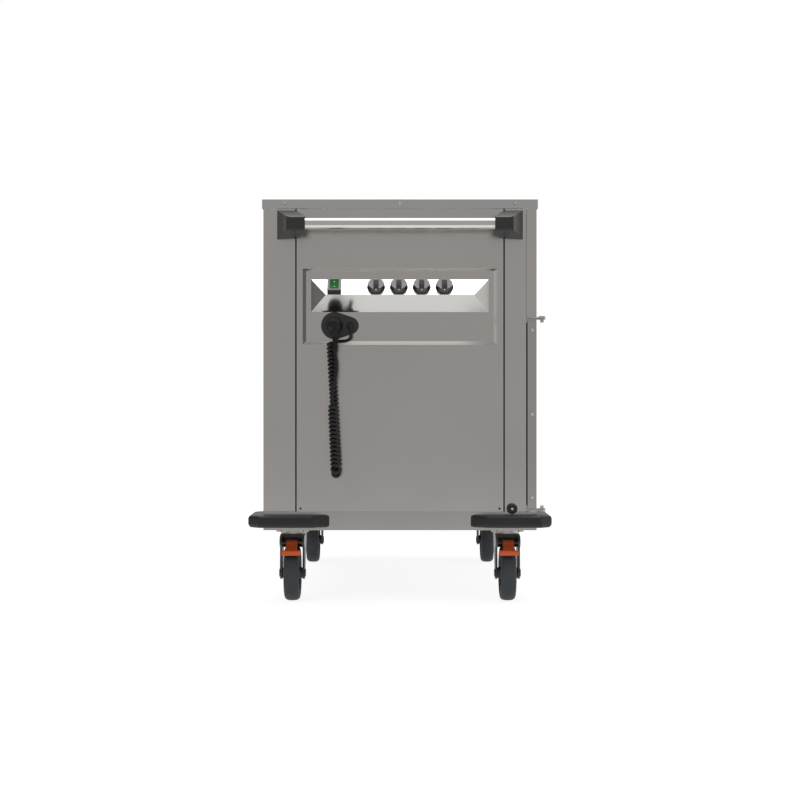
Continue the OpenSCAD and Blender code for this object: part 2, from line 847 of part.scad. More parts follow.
module console_housing() color(POLISHED) difference() {
    translate([0, -field_out, console_mid]) hip(console_w / 2, console_out, ridge_half);
    translate([0, -field_out + eps, console_mid]) {
        hip(console_w / 2 - 2 * console_t, console_out - 1.5 * console_t, ridge_half - console_t / 2);
    }
    for (k = [0:3]) on_slope(knob_x + k * knob_pitch) {
        translate([0, 0, -6]) cylinder(r = spindle_r + clear, h = 12);
    }
    on_slope(switch_x) block([-11.3, -13.8, -6], [11.3, 13.8, 6]);
}

module thermostats() color(ZINC) for (k = [0:3]) on_slope(knob_x + k * knob_pitch) {
    translate([0, 0, -2 - thermostat_l]) cylinder(r = thermostat_r, h = thermostat_l);
    translate([0, 0, -3]) cylinder(r = spindle_r, h = 3 + knob_gap + spindle_l);
}

module knob(k) color(BLACK) on_slope(knob_x + k * knob_pitch) translate([0, 0, knob_gap]) difference() {
    union() {
        cylinder(r1 = knob_r, r2 = knob_r - knob_taper, h = knob_skirt);
        intersection() {
            translate([-wing_w / 2, 0, 0]) rotate([90, 0, 90]) linear_extrude(wing_w) polygon([
                [-wing_root, 1], [-wing_root, knob_skirt], [-wing_front, knob_h],
                [wing_back, knob_h], [wing_root, knob_skirt], [wing_root, 1]
            ]);
            cylinder(r = wing_root, h = knob_h);
        }
    }
    translate([0, 0, -1]) cylinder(r = spindle_r + run, h = spindle_l + 1.3);
}

module switch_bezel() color(BLACK) on_slope(switch_x) difference() {
    union() {
        block([-bezel_w / 2, -bezel_h / 2, 0], [bezel_w / 2, bezel_h / 2, bezel_t]);
        block([-11, -13.5, -20], [11, 13.5, eps]);
    }
    block(
        [-rocker_w / 2 - clear, -rocker_h / 2 - rocker_play, 1.5],
        [rocker_w / 2 + clear, rocker_h / 2 + rocker_play, bezel_t + 1]
    );
    translate([0, 0, rocker_axis]) along_x() cylinder(r = rocker_pin_r + run, h = rocker_w + 4, center = true);
}

module power_rocker() color(GREEN) on_slope(switch_x) {
    h = rocker_h / 2 - 0.4;
    translate([-rocker_w / 2, 0, 0]) rotate([90, 0, 90]) linear_extrude(rocker_w) polygon([
        [-h, rocker_axis - 1], [-6, rocker_axis - 2], [6, rocker_axis - 2], [h, rocker_axis + 0.5],
        [h, rocker_axis + 6.4], [0, rocker_axis + 3.6], [-h, rocker_axis + 3.2]
    ]);
    translate([0, 0, rocker_axis]) along_x() cylinder(r = rocker_pin_r, h = rocker_w + 3, center = true);
}

// ---- Parking socket, plug and cord ----

module cord_holder() color(BLACK) translate([0, -field_out, 0]) rotate([90, 0, 0]) difference() {
    union() {
        hull() {
            translate([plug_x, plug_z, 0]) cylinder(r = holder_r, h = holder_t);
            translate([lobe_x, plug_z, 0]) cylinder(r = lobe_r, h = holder_t);
        }
        translate([plug_x, plug_z, -cup_l]) cylinder(r = cup_r, h = cup_l + eps);
    }
    for (x = [-pin_gap, pin_gap]) {
        translate([plug_x + x, plug_z, holder_t - pin_l - 1]) cylinder(r = pin_r + clear, h = pin_l + 2);
    }
    translate([lobe_x, plug_z, -1]) cylinder(r = neck_r + run, h = holder_t + 2);
}

module cord_gland() color(BLACK) translate([lobe_x, holder_y, plug_z]) rotate([90, 0, 0]) {
    cylinder(r1 = gland_r, r2 = gland_r - 2.5, h = gland_l);
    translate([0, 0, -holder_t]) cylinder(r = neck_r, h = holder_t + eps);
}

module supply_lead() color(BLACK) tube(LEAD_ROUTE, cord_d / 2, lead_sides, [1, 0, 0]);

module plug_lead() color(BLACK) tube(PLUG_ROUTE, cord_d / 2, lead_sides, [1, 0, 0]);

// Lengths of the curls' middle line, and the curls on each stretch
AXIS_TOP = OUTER_TOP - [0, 0, cord_d];
wall_run = norm(WALL_LOW - WALL_TOP);
turn_r = norm(OUTER_LOW - WALL_LOW) / 2;
turn_run = PI * turn_r;
outer_run = norm(AXIS_TOP - OUTER_LOW);
wall_curls = wall_run / curl_pitch;
turn_curls = turn_run / turn_pitch;
outer_curls = outer_run / curl_pitch;
all_curls = wall_curls + turn_curls + outer_curls;

// How far along the middle line the curl number c lies
function along(c) =
    c < wall_curls ? c * curl_pitch :
    c < wall_curls + turn_curls ? wall_run + (c - wall_curls) * turn_pitch :
    wall_run + turn_run + (c - wall_curls - turn_curls) * curl_pitch;

// The middle line at the distance s along it
function middle(s) =
    s < wall_run ? WALL_TOP + (WALL_LOW - WALL_TOP) * s / wall_run :
    s < wall_run + turn_run ? bottom_turn(180 * (s - wall_run) / turn_run) :
    OUTER_LOW + (AXIS_TOP - OUTER_LOW) * (s - wall_run - turn_run) / outer_run;
function bottom_turn(a) =
    (WALL_LOW + OUTER_LOW) / 2 + cos(a) * (WALL_LOW - OUTER_LOW) / 2 - [0, 0, turn_r * sin(a)];

// The curl's radius at curl number c: full, and drawn in to the middle line over the last curls
function curl_radius(c) = curl_r * ease((all_curls - c) / settle);
function ease(x) = x >= 1 ? 1 : x <= 0 ? 0 : x * x * (3 - 2 * x);

// The point of the winding at curl number c
function wound(c) =
    let (s = along(c), t = unit(middle(s + 0.5) - middle(s - 0.5)), u = across([1, 0, 0], t), v = cross(u, t))
    middle(s) + curl_radius(c) * (cos(90 + 360 * c) * u + sin(90 + 360 * c) * v);

function curl_line() = concat(
    [for (k = [1, 0.5]) wound(0) + k * CURL_START],
    [for (k = [0:floor(all_curls * curl_steps)]) wound(k / curl_steps)],
    [AXIS_TOP + [0, 0, cord_d / 3], OUTER_TOP]
);

module curly_cord() color(BLACK) {
    line = curl_line();
    steps = [for (i = [0:len(line) - 2]) norm(line[i + 1] - line[i])];
    walk = [for (i = 0, s = 0; i < len(line); i = i + 1, s = s + (i < len(line) ? steps[i - 1] : 0)) s];
    gap = min([
        for (i = [0:len(line) - 2], j = [i + 1:len(line) - 1])
            if (walk[j] - walk[i] > 3 * cord_d) norm(line[i] - line[j])
    ]) - cord_d;
    echo(curls = all_curls, cord_length = walk[len(line) - 1], least_gap = gap);
    tube(line, cord_d / 2, curl_sides, [0, 0, 1]);
}

module mains_plug() color(BLACK) {
    translate([plug_x, holder_y, plug_z]) rotate([90, 0, 0]) {
        rotate_extrude() polygon([
            [0, 0], [plug_r, 0], [plug_r, 6], [plug_r - 1, 13], [plug_r - 3, 20], [plug_r - 5.5, 25.5],
            [plug_r - 8, plug_l], [0, plug_l]
        ]);
        for (x = [-pin_gap, pin_gap]) translate([x, 0, -pin_l]) cylinder(r = pin_r, h = pin_l + eps);
    }
    translate([relief_x, relief_y, relief_z]) cylinder(r1 = 5.5, r2 = 7.6, h = relief_l);
}

// ---- Push handle and bumpers ----

module handle_tube() color(POLISHED) {
    l = handle_half + socket_depth;
    translate([-l, -handle_out, handle_z]) rotate([0, 90, 0]) difference() {
        cylinder(d = handle_d, h = 2 * l);
        translate([0, 0, -1]) cylinder(d = handle_d - 3, h = 2 * l + 2);
    }
}

module handle_brackets() color(BLACK) both_sides() difference() {
    hull() {
        translate([handle_half, 0, handle_z]) rotate([90, 0, 0]) linear_extrude(foot_t) polygon(foot_plan);
        block(
            [handle_half, nose_t - handle_reach, handle_z + head_z[0]],
            [handle_half + head_l, head_back - handle_out, handle_z + head_z[1]]
        );
        block(
            [handle_half, -handle_reach, handle_z + nose_z[0]],
            [handle_half + nose_l, nose_t - handle_reach, handle_z + nose_z[1]]
        );
    }
    translate([handle_half - 1, -handle_out, handle_z]) {
        rotate([0, 90, 0]) cylinder(d = handle_d + 2 * run, h = socket_depth + 1);
    }
}

// One leg of a bumper seen from above, reaching out by o
module bumper_plan(o) polygon([
    [half_w - bumper_leg, 0], [half_w - bumper_leg + 35, -o], [half_w + 8, -o],
    [half_w + o, -8], [half_w + o, 0]
]);

module bumper_leg_form() hull() {
    translate([0, 0, bumper_z]) linear_extrude(bumper_h) bumper_plan(bumper_out - 5);
    translate([0, 0, bumper_z + 6]) linear_extrude(bumper_h - 11) bumper_plan(bumper_out);
}

module corner_bumpers() color(BLACK) both_ends() both_sides() {
    bumper_leg_form();
    translate([half_w, 0, 0]) mirror([1, 1, 0]) translate([-half_w, 0, 0]) bumper_leg_form();
}

// ---- Casters ----

// Turns what is drawn along Z to lie along X
module along_x() rotate([0, 90, 0]) children();

module caster_plate() difference() {
    block([-plate_w / 2, -plate_l / 2, plate_z], [plate_w / 2, plate_l / 2, body_z]);
    at_bolts() translate([0, 0, plate_z - 1]) cylinder(r = bolt_r + clear / 2, h = plate_t + 2);
}

module caster_plates() color(ZINC) both_sides() translate([caster_x, caster_y, 0]) difference() {
    union() {
        caster_plate();
        translate([0, 0, plate_z - race_t]) cylinder(r = race_r, h = race_t + eps);
    }
    translate([0, 0, plate_z - race_t - 1]) cylinder(r = kingpin_r + run, h = race_t + plate_t + 2);
}

module caster_bolts() color(ZINC) at_casters() at_bolts() {
    translate([0, 0, plate_z - 5]) cylinder(r = nut_r, h = 5, $fn = 6);
    translate([0, 0, plate_z - eps]) cylinder(r = bolt_r, h = plate_t + frame_t + 6);
    translate([0, 0, body_z + frame_t]) cylinder(r = nut_r, h = 4, $fn = 6);
}

// A pair of fork legs from height top down to the axle, which lies at y
module fork_legs(y, back, front, top) both_sides() difference() {
    translate([fork_w / 2 - leg_t, 0, 0]) rotate([90, 0, 90]) linear_extrude(leg_t) {
        polygon([
            [front, top], [back, top], [back - 4, top - 24], [y + 13, wheel_r - 3],
            [y - 13, wheel_r - 3], [min(front, y) - 10, top - 30]
        ]);
        translate([y, wheel_r]) circle(14);
    }
    translate([0, y, wheel_r]) along_x() cylinder(r = axle_r + run, h = fork_w);
}

// The axle bolt with its two round heads
module axle(y) translate([0, y, wheel_r]) along_x() {
    translate([0, 0, -fork_w / 2]) cylinder(r = axle_r, h = fork_w);
    for (s = [-1, 1]) translate([0, 0, s * (fork_w / 2 + axle_head_t / 2)]) {
        cylinder(r = axle_head_r, h = axle_head_t, center = true);
    }
}

module swivel_fork(side) color(BLACK) translate([side * caster_x, caster_y, 0]) {
    union() {
        block([-fork_w / 2, -leg_reach, fork_top - crown_t], [fork_w / 2, fork_back, fork_top]);
        block([-fork_w / 2 + eps, web_y, web_z], [fork_w / 2 - eps, web_y + leg_t, fork_top - eps]);
        both_sides() translate([fork_w / 2 - leg_t, 0, 0]) rotate([90, 0, 90]) linear_extrude(leg_t) {
            polygon([
                [-30, fork_top], [-30, pedal_z - 22], [pedal_y, pedal_z - 8], [pedal_y - 8, pedal_z - 3],
                [pedal_y - 8, pedal_z + 4], [pedal_y - 2, fork_top - 4], [-40, fork_top]
            ]);
        }
        translate([0, 0, fork_top - eps]) cylinder(r = kingpin_r, h = race_t + plate_t - 2);
        fork_legs(-trail, fork_back, -leg_reach, fork_top - eps);
        translate([eps - fork_w / 2 + leg_t / 2, pedal_y, pedal_z]) {
            along_x() cylinder(r = pedal_pin_r, h = fork_w - leg_t - 2 * eps);
        }
    }
    axle(-trail);
}

module fixed_forks() color(BLACK) translate([0, body_l, 0]) mirror([0, 1, 0]) both_sides() {
    translate([caster_x, caster_y, 0]) {
        union() {
            caster_plate();
            fork_legs(0, leg_reach, -leg_reach, plate_z + eps);
        }
        axle(0);
    }
}

// The brake pedal: its pivot boss, the narrow web over the tyre and the wide lip
module brake_pedal(side) color(ORANGE) translate([side * caster_x, caster_y, 0]) difference() {
    union() {
        translate([0, pedal_y, pedal_z]) along_x() cylinder(r = 6, h = 24, center = true);
        translate([-12, 0, 0]) rotate([90, 0, 90]) linear_extrude(24) polygon([
            [pedal_y, pedal_z - 5], [pedal_y, pedal_z + 5.9], [pedal_y - 14, pedal_z + 3.5],
            [pedal_y - 22, pedal_z - 5], [lip_y + 12, lip_z + 13], [lip_y + 8, lip_z + 11],
            [lip_y + 9, lip_z + 6], [pedal_y - 26, pedal_z - 15], [pedal_y - 16, pedal_z - 8]
        ]);
        translate([-pedal_w / 2, 0, 0]) rotate([90, 0, 90]) linear_extrude(pedal_w) polygon([
            [lip_y, lip_z + 2], [lip_y + 2, lip_z], [lip_y + 10, lip_z + 1], [lip_y + 12, lip_z + 4],
            [lip_y + 12, lip_z + 11], [lip_y + 3, lip_z + 12], [lip_y, lip_z + 10]
        ]);
    }
    translate([0, pedal_y, pedal_z]) along_x() cylinder(r = pedal_pin_r + run, h = 30, center = true);
}

// The wheel's centre at each corner: side is -1 left, 1 right
function wheel_y(rear) = rear ? body_l - caster_y : caster_y - trail;

module at_wheel(side, rear) translate([side * caster_x, wheel_y(rear), wheel_r]) along_x() children();

module tyre(side, rear) color(RUBBER) at_wheel(side, rear) rotate_extrude() {
    h = tyre_w / 2;
    inner = core_r + run;
    polygon([
        [inner, -h + 2], [inner + 3, -h], [wheel_r - 9, -h], [wheel_r - 4, -h + 1.5], [wheel_r - 1, -h + 5],
        [wheel_r, -h + 10], [wheel_r, h - 10], [wheel_r - 1, h - 5], [wheel_r - 4, h - 1.5], [wheel_r - 9, h],
        [inner + 3, h], [inner, h - 2]
    ]);
}

module wheel_core(side, rear) color(BLACK) at_wheel(side, rear) rotate_extrude() {
    hub = fork_w / 2 - leg_t - clear;
    rim = tyre_w / 2 - 3;
    polygon([
        [axle_r + run, -hub], [14, -hub], [16, -6], [core_r - 7, -5], [core_r - 5, -rim], [core_r, -rim],
        [core_r, rim], [core_r - 5, rim], [core_r - 7, 5], [16, 6], [14, hub], [axle_r + run, hub]
    ]);
}

place() top_deck();
place() heated_wells();
place() heating_mats();
place() drain_pipes();
place() drain_valve();
place() drain_lever();
place() left_panel();
place() rear_panel();
place() right_fascia();
place() corner_posts();
place() base_frame();
place() service_panel();
place() console_housing();
place() cabinet_liner();
place() bay_dividers();
place() pan_runners();
place() wall_insulation();
place() thermostats();
place() terminal_block();
place() switch_bezel();
place() power_rocker();
place() knob(0);  // front_well_knob
place() knob(1);  // middle_well_knob
place() knob(2);  // rear_well_knob
place() knob(3);  // cupboard_knob
place() cord_holder();
place() cord_gland();
place() supply_lead();
place() curly_cord();
place() plug_lead();
place() mains_plug();
place() handle_tube();
place() handle_brackets();
place() corner_bumpers();
place() hinge_arms();
place() hinge_pins();
place() door_seals();
place() door_buffer();
place() panel_screws();
place() door_shell(0);  // front_door_shell
place() door_liner(0);  // front_door_liner
place() door_shell(1);  // middle_door_shell
place() door_liner(1);  // middle_door_liner
place() door_shell(2);  // rear_door_shell
place() door_liner(2);  // rear_door_liner
place() caster_plates();
place() caster_bolts();
place() fixed_forks();
place() swivel_fork(-1);  // left_swivel_fork
place() swivel_fork(1);  // right_swivel_fork
place() brake_pedal(-1);  // left_brake_pedal
place() brake_pedal(1);  // right_brake_pedal
place() tyre(-1, false);  // front_left_tyre
place() tyre(1, false);  // front_right_tyre
place() tyre(-1, true);  // rear_left_tyre
place() tyre(1, true);  // rear_right_tyre
place() wheel_core(-1, false);  // front_left_wheel_core
place() wheel_core(1, false);  // front_right_wheel_core
place() wheel_core(-1, true);  // rear_left_wheel_core
place() wheel_core(1, true);  // rear_right_wheel_core
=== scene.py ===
"""The looks of the heated food trolley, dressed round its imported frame.

Metres, in the frame's own axes: X is the width, Y the length (the control end faces -Y), Z is up.
Sizes are written in millimetres from the control end's face, and at() turns them into the frame.
"""

import json
import math

import bmesh
import bpy
from mathutils import Matrix, Vector


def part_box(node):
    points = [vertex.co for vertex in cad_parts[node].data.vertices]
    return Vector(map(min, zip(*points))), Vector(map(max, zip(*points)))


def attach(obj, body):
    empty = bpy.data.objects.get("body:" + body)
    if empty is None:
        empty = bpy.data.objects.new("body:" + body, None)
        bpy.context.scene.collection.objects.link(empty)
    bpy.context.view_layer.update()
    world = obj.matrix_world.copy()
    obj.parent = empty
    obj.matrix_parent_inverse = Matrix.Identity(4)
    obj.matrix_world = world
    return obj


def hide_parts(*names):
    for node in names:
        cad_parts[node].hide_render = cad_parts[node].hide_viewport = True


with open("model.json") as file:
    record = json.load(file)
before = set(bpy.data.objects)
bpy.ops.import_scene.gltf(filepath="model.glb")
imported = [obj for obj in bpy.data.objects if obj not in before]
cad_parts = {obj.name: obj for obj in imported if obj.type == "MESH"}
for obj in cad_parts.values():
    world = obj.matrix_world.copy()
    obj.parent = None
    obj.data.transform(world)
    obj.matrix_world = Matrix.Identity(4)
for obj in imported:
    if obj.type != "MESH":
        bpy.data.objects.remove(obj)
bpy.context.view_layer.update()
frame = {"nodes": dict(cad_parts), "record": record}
MM = 0.001

# The control end's face, and the lines of the trolley that the pieces are set on
FACE_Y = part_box("base_frame")[0].y
BODY_L = (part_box("base_frame")[1].y - FACE_Y) / MM
HALF_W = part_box("base_frame")[1].x / MM
TOP_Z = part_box("heated_wells")[1].z / MM


def at(x, y, z):
    """The point x, y, z millimetres from the middle of the control end's face, at floor level."""
    return Vector((x * MM, FACE_Y + y * MM, z * MM))


# ---- Camera ----

CAMERA_Z = 0.455
CAMERA_BACK = 3.684
LENS = 75.0
SENSOR = 36.0


def set_camera():
    camera = bpy.data.cameras.new("camera")
    camera.lens = LENS
    camera.sensor_width = SENSOR
    stand = bpy.data.objects.new("camera", camera)
    stand.location = (0, FACE_Y - CAMERA_BACK, CAMERA_Z)
    stand.rotation_euler = (math.radians(90), 0, 0)
    bpy.context.collection.objects.link(stand)
    bpy.context.scene.camera = stand


# ---- Shader groups ----


def new_group(name, inputs, outputs):
    """A shader group with its sockets: inputs are (name, type, value), outputs are (name, type)."""
    group = bpy.data.node_groups.new(name, "ShaderNodeTree")
    for label, kind, value in inputs:
        socket = group.interface.new_socket(label, in_out="INPUT", socket_type=kind)
        if value is not None:
            socket.default_value = value
    for label, kind in outputs:
        group.interface.new_socket(label, in_out="OUTPUT", socket_type=kind)
    return group, group.nodes.new("NodeGroupInput"), group.nodes.new("NodeGroupOutput")


def stretched_noise(group, source, scale, detail=3.0):
    """Noise on the group's Vector, stretched by the Scale vector of the group."""
    stretch = group.nodes.new("ShaderNodeVectorMath")
    stretch.operation = "MULTIPLY"
    noise = group.nodes.new("ShaderNodeTexNoise")
    noise.inputs["Scale"].default_value = scale
    noise.inputs["Detail"].default_value = detail
    group.links.new(source.outputs["Vector"], stretch.inputs[0])
    group.links.new(source.outputs["Stretch"], stretch.inputs[1])
    group.links.new(stretch.outputs[0], noise.inputs["Vector"])
    return noise.outputs["Fac"]


# The part of 0 to 1 that noise mostly stays in, and how pointed an edge is where wear begins and is full
NOISE_LOW, NOISE_HIGH = 0.3, 0.7
WEAR_BEGINS, WEAR_FULL = 0.54, 0.66


def ranged(group, value, low, high):
    """Spreads noise over the range from low to high."""
    spread = group.nodes.new("ShaderNodeMapRange")
    spread.inputs["From Min"].default_value = NOISE_LOW
    spread.inputs["From Max"].default_value = NOISE_HIGH
    spread.inputs["To Min"].default_value = low
    spread.inputs["To Max"].default_value = high
    group.links.new(value, spread.inputs["Value"])
    return spread.outputs["Result"]


def make_grinding_lines():
    """The fine lines of ground sheet: a height, and a tone that darkens and lightens the metal."""
    group, source, sink = new_group(
        "grinding_lines",
        [("Vector", "NodeSocketVector", None), ("Stretch", "NodeSocketVector", (1, 1, 1))],
        [("Height", "NodeSocketFloat"), ("Tone", "NodeSocketFloat")],
    )
    fine = stretched_noise(group, source, 1.0, 4.0)
    group.links.new(fine, sink.inputs["Height"])
    group.links.new(ranged(group, fine, 0.985, 1.015), sink.inputs["Tone"])
    return group


def make_cloudiness():
    """Broad soft patches, for handling marks and uneven finish: a tone and a roughness offset."""
    group, source, sink = new_group(
        "cloudiness",
        [("Vector", "NodeSocketVector", None), ("Stretch", "NodeSocketVector", (1, 1, 1))],
        [("Tone", "NodeSocketFloat"), ("Offset", "NodeSocketFloat")],
    )
    broad = stretched_noise(group, source, 4.0, 5.0)
    group.links.new(ranged(group, broad, 0.98, 1.02), sink.inputs["Tone"])
    group.links.new(ranged(group, broad, -0.02, 0.02), sink.inputs["Offset"])
    return group


def make_moulded_grain():
    """The fine pebbled skin of moulded rubber and plastic: a height and a roughness offset."""
    group, source, sink = new_group(
        "moulded_grain",
        [("Vector", "NodeSocketVector", None), ("Stretch", "NodeSocketVector", (1, 1, 1))],
        [("Height", "NodeSocketFloat"), ("Offset", "NodeSocketFloat")],
    )
    pebbles = stretched_noise(group, source, 900.0, 2.0)
    group.links.new(pebbles, sink.inputs["Height"])
    group.links.new(ranged(group, pebbles, -0.06, 0.06), sink.inputs["Offset"])
    return group


def make_edge_wear():
    """Where outer edges rub: a mask from the surface's pointiness, broken up by noise."""
    group, source, sink = new_group(
        "edge_wear",
        [("Vector", "NodeSocketVector", None), ("Stretch", "NodeSocketVector", (1, 1, 1))],
        [("Mask", "NodeSocketFloat")],
    )
    shape = group.nodes.new("ShaderNodeNewGeometry")
    edge = group.nodes.new("ShaderNodeMapRange")
    edge.inputs["From Min"].default_value = WEAR_BEGINS
    edge.inputs["From Max"].default_value = WEAR_FULL
    group.links.new(shape.outputs["Pointiness"], edge.inputs["Value"])
    broken = ranged(group, stretched_noise(group, source, 60.0, 4.0), 0.0, 1.0)
    both = group.nodes.new("ShaderNodeMath")
    both.operation = "MULTIPLY"
    group.links.new(edge.outputs["Result"], both.inputs[0])
    group.links.new(broken, both.inputs[1])
    group.links.new(both.outputs[0], sink.inputs["Mask"])
    return group


LINES = make_grinding_lines()
CLOUDS = make_cloudiness()
GRAIN = make_moulded_grain()
WEAR = make_edge_wear()


# The depth of grinding lines and moulded grain, in metres
GRAIN_DEPTH = 0.0002


class Finish:
    """A material being made: its shader, its object coordinates and the links between them."""

    def __init__(self, name, color, metallic=0.0, roughness=0.5, **sockets):
        self.material = bpy.data.materials.new(name)
        self.material.use_nodes = True
        self.nodes = self.material.node_tree.nodes
        self.links = self.material.node_tree.links
        self.shader = self.nodes["Principled BSDF"]
        self.color = color
        self.roughness = roughness
        self.shader.inputs["Base Color"].default_value = (*color, 1)
        self.shader.inputs["Metallic"].default_value = metallic
        self.shader.inputs["Roughness"].default_value = roughness
        for label, value in sockets.items():
            self.shader.inputs[label.replace("_", " ")].default_value = value
        self.place = self.nodes.new("ShaderNodeTexCoord").outputs["Object"]

    def use(self, group, stretch=(1, 1, 1)):
        node = self.nodes.new("ShaderNodeGroup")
        node.node_tree = group
        node.inputs["Stretch"].default_value = stretch
        self.links.new(self.place, node.inputs["Vector"])
        return node

    def math(self, operation, a, b):
        node = self.nodes.new("ShaderNodeMath")
        node.operation = operation
        for socket, value in zip(node.inputs, (a, b)):
            if isinstance(value, (int, float)):
                socket.default_value = value
            else:
                self.links.new(value, socket)
        return node.outputs[0]

    def toned(self, tone):
        """Darkens and lightens the base colour by the tone."""
        mix = self.nodes.new("ShaderNodeVectorMath")
        mix.operation = "SCALE"
        mix.inputs[0].default_value = self.color
        self.links.new(tone, mix.inputs["Scale"])
        self.links.new(mix.outputs[0], self.shader.inputs["Base Color"])

    def roughened(self, offset):
        self.links.new(self.math("ADD", offset, self.roughness), self.shader.inputs["Roughness"])

    def bumped(self, height, strength):
        bump = self.nodes.new("ShaderNodeBump")
        bump.inputs["Strength"].default_value = strength
        bump.inputs["Distance"].default_value = GRAIN_DEPTH
        self.links.new(height, bump.inputs["Height"])
        self.links.new(bump.outputs["Normal"], self.shader.inputs["Normal"])

    def worn(self, mask, color):
        """Shows another colour where the mask is."""
        mix = self.nodes.new("ShaderNodeMix")
        mix.data_type = "RGBA"
        mix.inputs[6].default_value = (*self.color, 1)
        mix.inputs[7].default_value = (*color, 1)
        self.links.new(mask, mix.inputs[0])
        self.links.new(mix.outputs[2], self.shader.inputs["Base Color"])


# Stretch of the grinding lines: fine across, long along
UPRIGHT = (900, 900, 12)
LENGTHWISE = (900, 12, 900)
CROSSWISE = (12, 900, 900)


def sheet_steel(name, color, roughness, stretch, bump=0.12):
    finish = Finish(name, color, metallic=1.0, roughness=roughness)
    lines = finish.use(LINES, stretch)
    clouds = finish.use(CLOUDS)
    finish.toned(finish.math("MULTIPLY", lines.outputs["Tone"], clouds.outputs["Tone"]))
    finish.roughened(clouds.outputs["Offset"])
    finish.bumped(lines.outputs["Height"], bump)
    return finish.material


def moulded(name, color, roughness, bump=0.25, **sockets):
    finish = Finish(name, color, roughness=roughness, **sockets)
    grain = finish.use(GRAIN)
    clouds = finish.use(CLOUDS)
    finish.toned(clouds.outputs["Tone"])
    finish.roughened(grain.outputs["Offset"])
    finish.bumped(grain.outputs["Height"], bump)
    return finish.material


def painted(name, color, roughness, bare, **sockets):
    finish = Finish(name, color, roughness=roughness, **sockets)
    wear = finish.use(WEAR)
    clouds = finish.use(CLOUDS, (6, 6, 6))
    finish.worn(wear.outputs["Mask"], bare)
    finish.roughened(clouds.outputs["Offset"])
    grain = finish.use(GRAIN, (0.3, 0.3, 0.3))
    finish.bumped(grain.outputs["Height"], 0.1)
    return finish.material


STEEL = (0.53, 0.508, 0.488)
BRIGHT = (0.62, 0.605, 0.585)
DARKER = (0.45, 0.432, 0.416)
PANEL = sheet_steel("panel_steel", STEEL, 0.22, UPRIGHT, 0.01)
DOOR = sheet_steel("door_steel", DARKER, 0.24, UPRIGHT, 0.01)
BASE = sheet_steel("base_steel", DARKER, 0.24, CROSSWISE, 0.01)
DECK = sheet_steel("deck_steel", (0.53, 0.512, 0.494), 0.27, LENGTHWISE, 0.015)
WELL = sheet_steel("well_steel", BRIGHT, 0.26, (40, 40, 40), 0.05)
HOUSING = sheet_steel("housing_steel", BRIGHT, 0.2, CROSSWISE, 0.01)
TUBE = sheet_steel("tube_steel", (0.64, 0.63, 0.61), 0.1, (20, 900, 900), 0.02)
ZINC = sheet_steel("zinc_plate", (0.5, 0.49, 0.46), 0.4, (120, 120, 120), 0.1)
SCREW = sheet_steel("bright_screw", (0.78, 0.77, 0.75), 0.3, (200, 200, 200), 0.05)
CORD_RUBBER = moulded("cord_rubber", (0.006, 0.006, 0.006), 0.42, 0.15, Specular_IOR_Level=0.3)
BUMPER_RUBBER = moulded("bumper_rubber", (0.007, 0.0065, 0.006), 0.5, 0.35, Specular_IOR_Level=0.42)
BLACK = moulded("black_plastic", (0.015, 0.015, 0.0145), 0.38, 0.2, Specular_IOR_Level=0.5)
KNOB = moulded("knob_plastic", (0.01, 0.01, 0.01), 0.24, 0.1, Specular_IOR_Level=0.85)
CORE = moulded("core_plastic", (0.03, 0.031, 0.034), 0.5, 0.2)
TYRE = moulded("tyre_rubber", (0.033, 0.038, 0.043), 0.62, 0.4, Specular_IOR_Level=0.35)
# Painted shade: a dull near-black finish for the backing behind the panel's seams, where there is only shadow
SHADE = moulded("gap_shade", (0.012, 0.012, 0.012), 0.8, 0.05, Specular_IOR_Level=0.1)
SEAL = moulded("seal_rubber", (0.02, 0.02, 0.02), 0.6, 0.2)
WOOL = moulded("mineral_wool", (0.62, 0.55, 0.34), 0.95, 1.0)
SILICONE = moulded("heater_mat", (0.45, 0.1, 0.05), 0.6, 0.3)
IVORY = moulded("ivory_plastic", (0.7, 0.67, 0.58), 0.4, 0.1)
FORK = painted("fork_paint", (0.02, 0.02, 0.022), 0.35, (0.2, 0.2, 0.2))
ORANGE = painted("pedal_paint", (0.6, 0.085, 0.012), 0.4, (0.4, 0.1, 0.03), Specular_IOR_Level=0.35)
RED = painted("lever_paint", (0.4, 0.02, 0.015), 0.35, (0.3, 0.3, 0.3))
BRASS = sheet_steel("valve_brass", (0.6, 0.42, 0.16), 0.35, (100, 100, 100), 0.1)
GREEN = moulded("rocker_green", (0.001, 0.09, 0.008), 0.3, 0.02, Specular_IOR_Level=0.15)
BEZEL = moulded("bezel_plastic", (0.012, 0.012, 0.012), 0.26, 0.05, Specular_IOR_Level=0.9)
WHITE = moulded("white_mark", (0.85, 0.85, 0.83), 0.5, 0.02)
PALE_GREEN = moulded("pale_green_mark", (0.35, 0.7, 0.4), 0.4, 0.02)


# ---- Pieces ----


def smoothed(mesh, angle=35):
    """Smooth shading, with creases left where faces meet at more than the angle."""
    for face in mesh.polygons:
        face.use_smooth = True
    mesh.set_sharp_from_angle(angle=math.radians(angle))


def piece(name, mesh, body, material=None):
    """Puts a finished mesh into the scene as a piece that rides on a body."""
    made = bpy.data.objects.new(name, mesh)
    bpy.context.collection.objects.link(made)
    if material:
        mesh.materials.clear()
        mesh.materials.append(material)
    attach(made, body)
    return made


def mesh_from(bm, name):
    mesh = bpy.data.meshes.new(name)
    bm.to_mesh(mesh)
    bm.free()
    return mesh


RECORD = frame["record"]
BODY_OF = {node: body for body, nodes in RECORD["behaviour"]["bodies"].items() for node in nodes}


def finished(obj):
    """The object's mesh with its modifiers applied."""
    graph = bpy.context.evaluated_depsgraph_get()
    return bpy.data.meshes.new_from_object(obj.evaluated_get(graph))


# Nodes whose merged faces wind back on themselves, so that they are cut into simple ones
CONCAVE_NODES = ("bay_dividers", "left_swivel_fork", "right_swivel_fork", "rear_door_shell")


